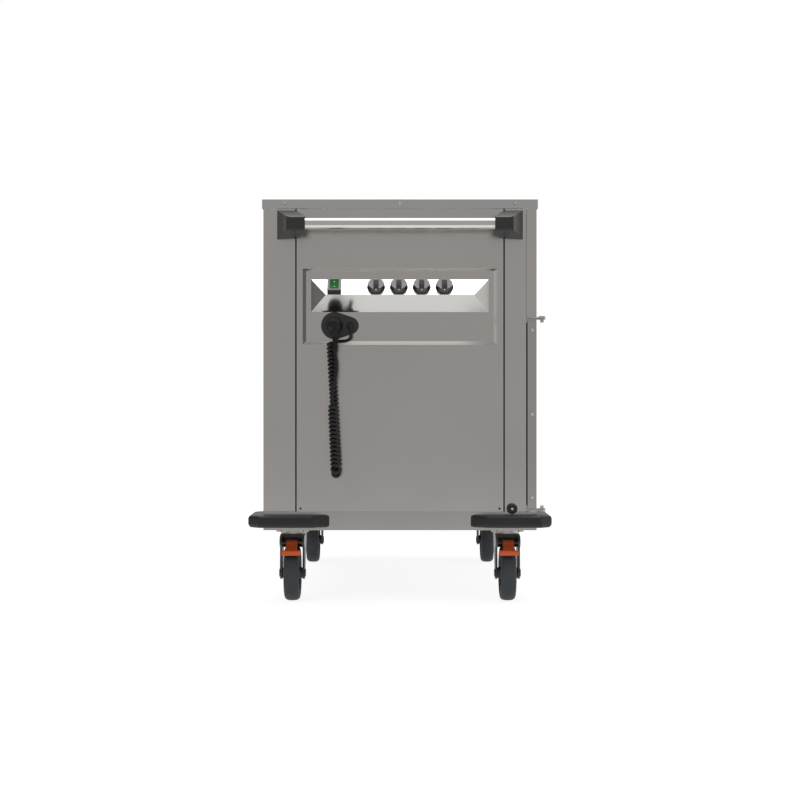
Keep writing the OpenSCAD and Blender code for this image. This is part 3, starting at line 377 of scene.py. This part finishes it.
def softened(node, width, material, segments=2, angle=28):
    """The CAD node again with its folded or moulded edges rounded, in the node's place."""
    bm = bmesh.new()
    bm.from_mesh(frame["nodes"][node].data)
    bmesh.ops.remove_doubles(bm, verts=bm.verts, dist=2e-6)
    bmesh.ops.dissolve_limit(
        bm, angle_limit=math.radians(0.6), verts=bm.verts, edges=bm.edges, use_dissolve_boundaries=False
    )
    if node in CONCAVE_NODES:
        bmesh.ops.connect_verts_concave(bm, faces=bm.faces)
    for face in bm.faces:
        face.smooth = True
    rough = bpy.data.objects.new(node + "_draft", mesh_from(bm, node + "_draft"))
    bpy.context.collection.objects.link(rough)
    bevel = rough.modifiers.new("edges", "BEVEL")
    bevel.width = width * MM
    bevel.segments = segments
    bevel.limit_method = "ANGLE"
    bevel.angle_limit = math.radians(angle)
    bevel.miter_outer = "MITER_ARC"
    bevel.use_clamp_overlap = True
    flat = rough.modifiers.new("flat_faces", "WEIGHTED_NORMAL")
    flat.mode = "FACE_AREA"
    flat.weight = 100
    mesh = finished(rough)
    bpy.data.objects.remove(rough)
    made = piece(node + "_form", mesh, BODY_OF[node], material)
    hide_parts(node)
    return made


def lathe(name, profile, turn, steps=64):
    """A closed profile of (radius, height) points turned about Z, then put in place by the matrix."""
    bm = bmesh.new()
    rings = []
    for k in range(steps):
        a = math.tau * k / steps
        rings.append([bm.verts.new((r * MM * math.cos(a), r * MM * math.sin(a), h * MM)) for r, h in profile])
    for k in range(steps):
        here, there = rings[k], rings[(k + 1) % steps]
        for i in range(len(profile)):
            j = (i + 1) % len(profile)
            bm.faces.new((here[i], there[i], there[j], here[j]))
    bmesh.ops.remove_doubles(bm, verts=bm.verts, dist=1e-6)
    bmesh.ops.dissolve_degenerate(bm, dist=1e-7, edges=bm.edges)
    bmesh.ops.recalc_face_normals(bm, faces=bm.faces)
    bmesh.ops.transform(bm, matrix=turn, verts=bm.verts)
    mesh = mesh_from(bm, name)
    smoothed(mesh, 40)
    return mesh


def facing(point, direction):
    """The place of something drawn along +Z, set at the point and turned to the direction."""
    return Matrix.Translation(point) @ Vector(direction).to_track_quat("Z", "Y").to_matrix().to_4x4()


def joined(name, meshes):
    """Several meshes as one."""
    bm = bmesh.new()
    for mesh in meshes:
        bm.from_mesh(mesh)
    return mesh_from(bm, name)


def keep(node, material):
    """A CAD node whose shape is right keeps it and gets its finish."""
    obj = frame["nodes"][node]
    for place in obj.material_slots:
        place.material = material


# ---- Mains cord ----

# The route in millimetres from the control end's face, as in the part's source
CORD_D = 7.0
LEAD_ROUTE = [
    (-110, -18, 619), (-110, -25, 619), (-109.5, -31, 616.5), (-109, -34, 611), (-108, -35, 604.5),
    (-107.5, -33.5, 598), (-108.5, -30, 592), (-111.5, -25.5, 588), (-116.5, -21, 585.5),
    (-123, -17, 584.5), (-130.5, -13.5, 584.2), (-138, -12.2, 583), (-145, -12.2, 581.5),
]
PLUG_ROUTE = [
    (-148, -49, 456), (-148, -49, 463), (-147, -48, 476), (-144, -45.5, 491), (-141, -42, 506),
    (-139.5, -38.5, 521), (-139.5, -35.5, 536), (-141, -33.8, 548), (-142, -33.5, 555), (-142, -33.5, 562),
]
WALL_TOP = Vector((-152, -18.8, 580))
WALL_LOW = Vector((-137.5, -18.8, 309))
OUTER_LOW = Vector((-142, -49, 309))
OUTER_TOP = Vector((-148, -49, 456))
AXIS_TOP = OUTER_TOP - Vector((0, 0, CORD_D))
CURL_START = Vector((7, 0, 1.5))
CURL_R = 6.6
CURL_PITCH = 9.0
TURN_PITCH = 14.0
SETTLE = 1.25
CURL_STEPS = 16

WALL_RUN = (WALL_LOW - WALL_TOP).length
TURN_R = (OUTER_LOW - WALL_LOW).length / 2
TURN_RUN = math.pi * TURN_R
OUTER_RUN = (AXIS_TOP - OUTER_LOW).length
WALL_CURLS = WALL_RUN / CURL_PITCH
TURN_CURLS = TURN_RUN / TURN_PITCH
ALL_CURLS = WALL_CURLS + TURN_CURLS + OUTER_RUN / CURL_PITCH


def along(curl):
    """How far along the middle line a curl lies."""
    if curl < WALL_CURLS:
        return curl * CURL_PITCH
    if curl < WALL_CURLS + TURN_CURLS:
        return WALL_RUN + (curl - WALL_CURLS) * TURN_PITCH
    return WALL_RUN + TURN_RUN + (curl - WALL_CURLS - TURN_CURLS) * CURL_PITCH


def middle(s):
    """The middle line: down the wall strand, round the bottom, up the outer strand."""
    if s < WALL_RUN:
        return WALL_TOP.lerp(WALL_LOW, s / WALL_RUN)
    if s < WALL_RUN + TURN_RUN:
        a = math.pi * (s - WALL_RUN) / TURN_RUN
        centre = (WALL_LOW + OUTER_LOW) / 2
        return centre + math.cos(a) * (WALL_LOW - OUTER_LOW) / 2 - Vector((0, 0, TURN_R * math.sin(a)))
    return OUTER_LOW + (AXIS_TOP - OUTER_LOW) * ((s - WALL_RUN - TURN_RUN) / OUTER_RUN)


def wound(curl):
    """The point of the winding at a curl number, drawn in to the middle line over the last curls."""
    s = along(curl)
    ahead = (middle(s + 0.5) - middle(s - 0.5)).normalized()
    side = Vector((1, 0, 0))
    side = (side - ahead * side.dot(ahead)).normalized()
    out = side.cross(ahead)
    left = min(1.0, max(0.0, (ALL_CURLS - curl) / SETTLE))
    radius = CURL_R * left * left * (3 - 2 * left)
    a = math.radians(90 + 360 * curl)
    return middle(s) + radius * (math.cos(a) * side + math.sin(a) * out)


def eased(points, steps=4):
    """A smooth line through the points, by Catmull and Rom's rule."""
    p = [Vector(q) for q in points]
    p = [2 * p[0] - p[1], *p, 2 * p[-1] - p[-2]]
    line = []
    for a, b, c, d in zip(p, p[1:], p[2:], p[3:]):
        for k in range(steps):
            t = k / steps
            bend = (2 * a - 5 * b + 4 * c - d) * t * t
            twist = (3 * b - a - 3 * c + d) * t**3
            line.append(0.5 * (2 * b + (c - a) * t + bend + twist))
    line.append(p[-2])
    return line


def cord_line():
    start = wound(0)
    curls = [wound(k / CURL_STEPS) for k in range(int(ALL_CURLS * CURL_STEPS) + 1)]
    lead = eased([*LEAD_ROUTE, start + CURL_START / 2, start])[:-1]
    tail = eased([AXIS_TOP, *PLUG_ROUTE])[2:]
    return lead + curls + tail


def make_cord(plug):
    curve = bpy.data.curves.new("mains_cord", "CURVE")
    curve.dimensions = "3D"
    curve.bevel_depth = CORD_D / 2 * MM
    curve.bevel_resolution = 3
    curve.use_fill_caps = True
    points = cord_line()
    spline = curve.splines.new("POLY")
    spline.points.add(len(points) - 1)
    for place, p in zip(spline.points, points):
        place.co = (*at(*p), 1)
    spline.use_smooth = True
    curve.materials.append(CORD_RUBBER)
    cord = bpy.data.objects.new("mains_cord", curve)
    bpy.context.collection.objects.link(cord)
    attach(cord, "chassis")
    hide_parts("supply_lead", "curly_cord", "plug_lead")


PLUG = (-144, -12, 619)
PLUG_R = 17.5
RELIEF = (-142, -33.5, 562)
RELIEF_L = 48


def make_plug():
    """The domed plug in its socket, its grip rings, and the ribbed strain relief below it."""
    dome = [
        (0, 0), (PLUG_R - 0.6, 0), (PLUG_R, 0.7), (PLUG_R, 5.6), (PLUG_R - 0.7, 6.2), (PLUG_R - 0.7, 7.2),
        (PLUG_R - 0.2, 7.8), (PLUG_R - 0.9, 12.5), (PLUG_R - 1.7, 16), (PLUG_R - 3, 19.6), (PLUG_R - 4.6, 23),
        (PLUG_R - 6.4, 25.9), (PLUG_R - 8.6, 27.6), (PLUG_R - 11.5, 28), (0, 28),
    ]
    body = lathe("plug_dome", dome, facing(at(*PLUG), (0, -1, 0)))
    ribs = [(0, 0), (4.6, 0), (5.4, 0.8)]
    for k in range(7):
        low = 3.0 + k * 4.4
        grow = 5.5 + 2.0 * low / RELIEF_L
        ribs += [(grow, low - 1.2), (grow, low + 0.9), (grow - 1.1, low + 1.5), (grow - 1.1, low + 2.6)]
    ribs += [(7.3, 33.8), (7.6, 40), (7.6, RELIEF_L), (0, RELIEF_L)]
    relief = lathe("plug_relief", ribs, Matrix.Translation(at(*RELIEF)), 32)
    plug = piece("plug_form", joined("plug_form", [body, relief]), "chassis", CORD_RUBBER)
    smoothed(plug.data, 40)
    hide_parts("mains_plug")
    return plug


# ---- Screws, set by one tree ----


# Shares of the head's radius: its top, and the length and width of a bar of the cross recess
TOP_SHARE = 0.72
BAR_LENGTH = 1.1
BAR_WIDTH = 0.24


def make_screw_tree():
    """A pan head with a cross recess on each vertex, turned to the vertex's own Facing."""
    tree = bpy.data.node_groups.new("screw_heads", "GeometryNodeTree")
    for label, kind, value in (
        ("Geometry", "NodeSocketGeometry", None),
        ("Head Radius", "NodeSocketFloat", 0.0035),
        ("Head Height", "NodeSocketFloat", 0.0018),
        ("Material", "NodeSocketMaterial", None),
    ):
        socket = tree.interface.new_socket(label, in_out="INPUT", socket_type=kind)
        if value is not None:
            socket.default_value = value
    tree.interface.new_socket("Geometry", in_out="OUTPUT", socket_type="NodeSocketGeometry")
    new, link = tree.nodes.new, tree.links.new
    source, sink = new("NodeGroupInput"), new("NodeGroupOutput")

    head = new("GeometryNodeMeshCone")
    head.inputs["Vertices"].default_value = 24
    head.inputs["Side Segments"].default_value = 2
    shrink = new("ShaderNodeMath")
    shrink.operation = "MULTIPLY"
    shrink.inputs[1].default_value = TOP_SHARE
    link(source.outputs["Head Radius"], shrink.inputs[0])
    link(shrink.outputs[0], head.inputs["Radius Top"])
    link(source.outputs["Head Radius"], head.inputs["Radius Bottom"])
    link(source.outputs["Head Height"], head.inputs["Depth"])

    cuts = []
    for turned in (False, True):
        slot = new("GeometryNodeMeshCube")
        size = new("ShaderNodeCombineXYZ")
        long_side = new("ShaderNodeMath")
        long_side.operation = "MULTIPLY"
        long_side.inputs[1].default_value = BAR_LENGTH
        thin_side = new("ShaderNodeMath")
        thin_side.operation = "MULTIPLY"
        thin_side.inputs[1].default_value = BAR_WIDTH
        link(source.outputs["Head Radius"], long_side.inputs[0])
        link(source.outputs["Head Radius"], thin_side.inputs[0])
        link((thin_side if turned else long_side).outputs[0], size.inputs["X"])
        link((long_side if turned else thin_side).outputs[0], size.inputs["Y"])
        link(source.outputs["Head Height"], size.inputs["Z"])
        link(size.outputs[0], slot.inputs["Size"])
        lift = new("GeometryNodeTransform")
        rise = new("ShaderNodeCombineXYZ")
        link(source.outputs["Head Height"], rise.inputs["Z"])
        link(rise.outputs[0], lift.inputs["Translation"])
        link(slot.outputs["Mesh"], lift.inputs["Geometry"])
        cuts.append(lift)

    carve = new("GeometryNodeMeshBoolean")
    carve.operation = "DIFFERENCE"
    link(head.outputs["Mesh"], carve.inputs["Mesh 1"])
    for cut in cuts:
        link(cut.outputs["Geometry"], carve.inputs["Mesh 2"])

    toward = new("GeometryNodeInputNamedAttribute")
    toward.data_type = "FLOAT_VECTOR"
    toward.inputs["Name"].default_value = "facing"
    aim = new("FunctionNodeAlignRotationToVector")
    aim.axis = "Z"
    link(toward.outputs["Attribute"], aim.inputs["Vector"])
    spread = new("GeometryNodeInstanceOnPoints")
    link(source.outputs["Geometry"], spread.inputs["Points"])
    link(carve.outputs["Mesh"], spread.inputs["Instance"])
    link(aim.outputs["Rotation"], spread.inputs["Rotation"])
    real = new("GeometryNodeRealizeInstances")
    link(spread.outputs["Instances"], real.inputs["Geometry"])
    dress = new("GeometryNodeSetMaterial")
    link(real.outputs["Geometry"], dress.inputs["Geometry"])
    link(source.outputs["Material"], dress.inputs["Material"])
    link(dress.outputs["Geometry"], sink.inputs["Geometry"])
    return tree


SCREW_TREE = make_screw_tree()


def set_input(modifier, label, value):
    for item in modifier.node_group.interface.items_tree:
        if item.item_type == "SOCKET" and item.in_out == "INPUT" and item.name == label:
            modifier[item.identifier] = value


def screws(name, places, body, material, radius=3.5, height=1.8):
    """Screw heads at (point, direction) places in millimetres, as one piece."""
    mesh = bpy.data.meshes.new(name + "_points")
    mesh.from_pydata([at(*p) for p, _ in places], [], [])
    facing_data = mesh.attributes.new("facing", "FLOAT_VECTOR", "POINT")
    for k, (_, direction) in enumerate(places):
        facing_data.data[k].vector = direction
    points = bpy.data.objects.new(name + "_points", mesh)
    bpy.context.collection.objects.link(points)
    tree = points.modifiers.new("heads", "NODES")
    tree.node_group = SCREW_TREE
    set_input(tree, "Head Radius", radius * MM)
    set_input(tree, "Head Height", height * MM)
    set_input(tree, "Material", material)
    heads = finished(points)
    bpy.data.objects.remove(points)
    heads.name = name
    return piece(name, heads, body, material)


# ---- Stage and light ----

WORLD_LIGHT = 0.55
FLOOR_GLOW = 1.1
FLOOR_SHARE = 0.8
# The studio's grey cards: name, strength and corners
CARDS = (
    ("front_card", 0.5, [(-2.6, -1.75, 0.0), (2.6, -1.75, 0.0), (2.6, -1.75, 2.6), (-2.6, -1.75, 2.6)]),
    ("left_card", 0.2, [(-2.6, -1.75, 0.0), (-2.6, -1.75, 2.6), (-2.6, 2.0, 2.6), (-2.6, 2.0, 0.0)]),
    ("right_card", 0.78, [(2.6, -1.75, 0.0), (2.6, 2.0, 0.0), (2.6, 2.0, 2.6), (2.6, -1.75, 2.6)]),
)


def plain_shader(name, color):
    material = bpy.data.materials.new(name)
    material.use_nodes = True
    shader = material.node_tree.nodes["Principled BSDF"]
    shader.inputs["Base Color"].default_value = (*color, 1)
    shader.inputs["Roughness"].default_value = 0.9
    shader.inputs["Specular IOR Level"].default_value = 0.0
    return material, shader


def plane(name, corners, material):
    mesh = bpy.data.meshes.new(name)
    mesh.from_pydata(corners, [], [range(len(corners))])
    mesh.materials.append(material)
    made = bpy.data.objects.new(name, mesh)
    bpy.context.collection.objects.link(made)
    return made


def glow_card(name, corners, strength):
    """A grey card of the studio, which only the metal sees."""
    material = bpy.data.materials.new(name)
    material.use_nodes = True
    tree = material.node_tree
    tree.nodes.clear()
    glow = tree.nodes.new("ShaderNodeEmission")
    glow.inputs["Strength"].default_value = strength
    sink = tree.nodes.new("ShaderNodeOutputMaterial")
    tree.links.new(glow.outputs[0], sink.inputs["Surface"])
    card = plane(name, corners, material)
    card.visible_camera = False
    card.visible_shadow = False


def seen_directly(tree):
    """1 where the camera, a reflection or a refraction looks, 0 for the light itself."""
    path = tree.nodes.new("ShaderNodeLightPath")
    total = tree.nodes.new("ShaderNodeMath")
    total.operation = "ADD"
    total.use_clamp = True
    more = tree.nodes.new("ShaderNodeMath")
    more.operation = "ADD"
    more.use_clamp = True
    tree.links.new(path.outputs["Is Camera Ray"], total.inputs[0])
    tree.links.new(path.outputs["Is Glossy Ray"], total.inputs[1])
    tree.links.new(total.outputs[0], more.inputs[0])
    tree.links.new(path.outputs["Is Transmission Ray"], more.inputs[1])
    return more.outputs[0]


def set_floor():
    """A pale floor that is white to the eye where nothing shades it."""
    material, shader = plain_shader("floor", (0.88, 0.88, 0.88))
    tree = material.node_tree
    glow = tree.nodes.new("ShaderNodeEmission")
    glow.inputs["Strength"].default_value = FLOOR_GLOW
    share = tree.nodes.new("ShaderNodeMath")
    share.operation = "MULTIPLY"
    share.inputs[1].default_value = FLOOR_SHARE
    tree.links.new(seen_directly(tree), share.inputs[0])
    mix = tree.nodes.new("ShaderNodeMixShader")
    tree.links.new(share.outputs[0], mix.inputs[0])
    tree.links.new(shader.outputs[0], mix.inputs[1])
    tree.links.new(glow.outputs[0], mix.inputs[2])
    tree.links.new(mix.outputs[0], tree.nodes["Material Output"].inputs["Surface"])
    plane("floor", [(-40, -40, 0), (40, -40, 0), (40, 40, 0), (-40, 40, 0)], material)


def set_world():
    """White to the eye and in reflections, and a softer light on the object."""
    world = bpy.data.worlds.new("studio")
    bpy.context.scene.world = world
    world.use_nodes = True
    tree = world.node_tree
    tree.nodes.clear()
    mix = tree.nodes.new("ShaderNodeMixShader")
    tree.links.new(seen_directly(tree), mix.inputs[0])
    for socket, strength in ((1, WORLD_LIGHT), (2, 1.0)):
        light = tree.nodes.new("ShaderNodeBackground")
        light.inputs["Color"].default_value = (1, 1, 1, 1)
        light.inputs["Strength"].default_value = strength
        tree.links.new(light.outputs[0], mix.inputs[socket])
    sink = tree.nodes.new("ShaderNodeOutputWorld")
    tree.links.new(mix.outputs[0], sink.inputs["Surface"])


def aimed(name, light, place, target):
    """Sets a lamp at its place, turned to the target."""
    stand = bpy.data.objects.new(name, light)
    stand.location = place
    aim = Vector(target) - Vector(place)
    stand.rotation_euler = aim.to_track_quat("-Z", "Y").to_euler()
    bpy.context.collection.objects.link(stand)
    return stand


def far_light(name, place, strength, spread):
    """A broad light from far away, which lights the whole floor alike and isn't mirrored."""
    light = bpy.data.lights.new(name, "SUN")
    light.energy = strength
    light.angle = math.radians(spread)
    aimed(name, light, place, (0, 0, 0)).visible_glossy = False


def set_stage():
    bpy.context.scene.view_settings.view_transform = "Standard"
    set_floor()
    set_world()
    for name, strength, corners in CARDS:
        glow_card(name, corners, strength)
    far_light("key", (-2.4, -4.2, 4.2), 1.1, 30)
    far_light("fill", (3.6, -3.6, 3.0), 0.5, 40)
    overhead = bpy.data.lights.new("overhead", "AREA")
    overhead.size = 3.5
    overhead.energy = 110
    aimed("overhead", overhead, (0.3, 0.0, 4.4), (0, 0, 0))


# ---- Dressing the trolley ----

# How far each node's edges are rounded, in millimetres, and its finish. A sheet takes less than half its
# thickness, because more would close its cut edge
SOFT_NODES = {
    "top_deck": (0.5, DECK), "left_panel": (0.5, PANEL), "rear_panel": (0.5, PANEL),
    "right_fascia": (0.5, PANEL), "corner_posts": (0.5, PANEL), "base_frame": (0.8, BASE),
    "service_panel": (0.5, PANEL), "console_housing": (0.6, HOUSING),
    "corner_bumpers": (3.0, BUMPER_RUBBER), "handle_brackets": (1.5, BLACK),
    "cord_holder": (1.0, BLACK), "cord_gland": (0.8, BLACK), "switch_bezel": (0.9, BEZEL),
    "power_rocker": (0.6, GREEN), "front_well_knob": (0.7, KNOB), "middle_well_knob": (0.7, KNOB),
    "rear_well_knob": (0.7, KNOB), "cupboard_knob": (0.7, KNOB), "front_door_shell": (0.5, DOOR),
    "middle_door_shell": (0.5, DOOR), "rear_door_shell": (0.5, DOOR), "door_buffer": (0.6, BUMPER_RUBBER),
    "fixed_forks": (1.2, FORK), "left_swivel_fork": (1.2, FORK), "right_swivel_fork": (1.2, FORK),
    "left_brake_pedal": (1.8, ORANGE), "right_brake_pedal": (1.8, ORANGE), "drain_valve": (1.2, BRASS),
    "drain_lever": (0.8, RED), "hinge_arms": (0.7, ZINC), "terminal_block": (0.8, IVORY),
    "cabinet_liner": (0.4, WELL), "bay_dividers": (0.5, WELL), "heated_wells": (0.4, WELL),
}
# Nodes whose shape is right as it is, and their finish
KEPT_NODES = {
    "heating_mats": SILICONE, "drain_pipes": ZINC, "pan_runners": WELL,
    "wall_insulation": WOOL, "thermostats": ZINC, "handle_tube": TUBE, "hinge_pins": ZINC,
    "door_seals": SEAL, "front_door_liner": WELL, "middle_door_liner": WELL, "rear_door_liner": WELL,
    "caster_plates": ZINC, "caster_bolts": ZINC,
}


# How far behind the end face the backing of the seams lies
GAP_DEPTH = (3, 9)


def shade_gaps(made):
    """The backing behind the panel's seams is dull and dark: painted shade, for the shadow in the seams that
    a mirror-like face lacks.
    """
    made.data.materials.append(SHADE)
    for face in made.data.polygons:
        middle = face.center
        behind = (middle.y - FACE_Y) / MM
        if GAP_DEPTH[0] < behind < GAP_DEPTH[1] and face.normal.y < -0.9 and abs(middle.x) / MM < HALF_W - 1:
            face.material_index = len(made.data.materials) - 1


def dress_nodes():
    for node, (width, material) in SOFT_NODES.items():
        made = softened(node, width, material, 3 if width > 2 else 2)
        if node in ("left_panel", "corner_posts"):
            shade_gaps(made)
    for node, material in KEPT_NODES.items():
        keep(node, material)


def make_wheels():
    """Tyres with a crowned tread and side lines, and dished cores with their hubs."""
    tyre_profile = [
        (49.6, -15.5), (51, -17.2), (52.4, -17.6), (53.4, -17), (54.4, -17.3), (56.6, -16.6), (58.8, -15),
        (60.4, -12.8), (61.5, -10), (62.1, -6.5), (62.5, 0), (62.1, 6.5), (61.5, 10), (60.4, 12.8),
        (58.8, 15), (56.6, 16.6), (54.4, 17.3), (53.4, 17), (52.4, 17.6), (51, 17.2), (49.6, 15.5),
    ]
    core_profile = [
        (6.1, -22.5), (11, -22.5), (12.4, -21.6), (13.4, -14), (16, -7), (20, -5.2), (40, -4.6), (43.6, -6),
        (44.8, -14), (46, -15), (49.3, -15), (49.4, 15), (46, 15), (44.8, 14), (43.6, 6), (40, 4.6),
        (20, 5.2), (16, 7), (13.4, 14), (12.4, 21.6), (11, 22.5), (6.1, 22.5),
    ]
    for side in ("front_left", "front_right", "rear_left", "rear_right"):
        low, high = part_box(side + "_tyre")
        turn = facing((low + high) / 2, (1, 0, 0))
        wheel = side + "_wheel"
        tyre_mesh = lathe(side + "_tyre_form", tyre_profile, turn, 96)
        tyre = piece(side + "_tyre_form", tyre_mesh, wheel, TYRE)
        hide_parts(side + "_tyre")
        core_mesh = lathe(side + "_core_form", core_profile, turn, 64)
        core = piece(side + "_core_form", core_mesh, wheel, CORE)
        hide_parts(side + "_wheel_core")


# The control slope: its middle, its outward direction and its upward direction
SLOPE = (-26, 703)
OUTWARD = Vector((0, -1, 1)).normalized()
UPSLOPE = Vector((0, 1, 1)).normalized()
KNOB_X = (-52.5, -2.5, 47.5, 97.5)
KNOB_BODIES = ("knob_1", "knob_2", "knob_3", "knob_4")
SWITCH_X = -144
# Each mark on the slope: how far up it and out from it, and its radius
KNOB_DOT = (-17.95, 8.2, 1.3)
WHITE_DOT = (7.5, 10.0, 1.6)
PALE_DOT = (-7.5, 8.45, 1.4)


def on_slope(x, up, out):
    """A point on the control slope: across, up the slope and out from it."""
    base = at(x, SLOPE[0], SLOPE[1])
    return base + (UPSLOPE * up + OUTWARD * out) * MM


def disc(name, place, radius, thick=0.5):
    """A low button with a chamfered rim, sunk by its thickness."""
    profile = [(0, -thick), (radius, -thick), (radius, 0.05), (radius - 0.15, 0.2), (0, 0.2)]
    return lathe(name, profile, place, 20)


def make_marks():
    """The white dot on each knob's skirt, and the two dots of the rocker."""
    skirt = OUTWARD - 4 * UPSLOPE
    up, out, radius = KNOB_DOT
    for x, body in zip(KNOB_X, KNOB_BODIES):
        dot = disc("knob_dot", facing(on_slope(x, up, out), skirt), radius)
        piece(body + "_dot", dot, body, WHITE)
    up, out, radius = WHITE_DOT
    white = disc("rocker_dot", facing(on_slope(SWITCH_X, up, out), OUTWARD), radius)
    piece("rocker_white_dot", white, "rocker", WHITE)
    up, out, radius = PALE_DOT
    pale = disc("rocker_low_dot", facing(on_slope(SWITCH_X, up, out), OUTWARD), radius)
    piece("rocker_pale_dot", pale, "rocker", PALE_GREEN)


# Painted shade: black discs that darken the two lower holes of the service panel
HOLE_SHADE_X = (-220, 220)
HOLE_SHADE_Z = 215
HOLE_SHADE_R = 2.45
HOLE_SHADE_OUT = 0.5


def make_hole_shades():
    """Black discs sunk in the service panel's two lower holes: painted shade for the dark inside the holes.
    """
    for x in HOLE_SHADE_X:
        hole_shade = disc("panel_hole_shade", facing(at(x, HOLE_SHADE_OUT, HOLE_SHADE_Z), (0, -1, 0)), HOLE_SHADE_R)
        piece("left_hole_shade" if x < 0 else "right_hole_shade", hole_shade, "chassis", BLACK)


RIM_Z = TOP_Z - 10
RIM_X = (-255, 0, 255)
RIM_OUT = 0.9
BUFFER_SCREW = (247.5, -9.3, 215)
DOOR_PITCH = (BODY_L - 2) / 3
EDGE_SCREW_X = 293
EDGE_SCREW_Z = (238, 423, 610)
EDGE_SCREW_R = 2.6
EDGE_SCREW_H = 0.8


def make_screws():
    """The screws of the rim and the buffer, and those in the front edge of each door."""
    ends = [((x, -RIM_OUT, RIM_Z), (0, -1, 0)) for x in RIM_X]
    ends += [((x, BODY_L + RIM_OUT, RIM_Z), (0, 1, 0)) for x in RIM_X]
    ends.append((BUFFER_SCREW, (0, -1, 0)))
    heads = screws("panel_screw_heads", ends, "chassis", SCREW)
    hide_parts("panel_screws")
    for k, door in enumerate(("front_door", "middle_door", "rear_door")):
        edge = 1 + k * DOOR_PITCH
        places = [((EDGE_SCREW_X, edge - 0.1, z), (0, -1, 0)) for z in EDGE_SCREW_Z]
        screws(door + "_edge_screws", places, door, SCREW, EDGE_SCREW_R, EDGE_SCREW_H)


set_camera()
make_cord(make_plug())
set_stage()
dress_nodes()
make_wheels()
make_marks()
make_hole_shades()
make_screws()
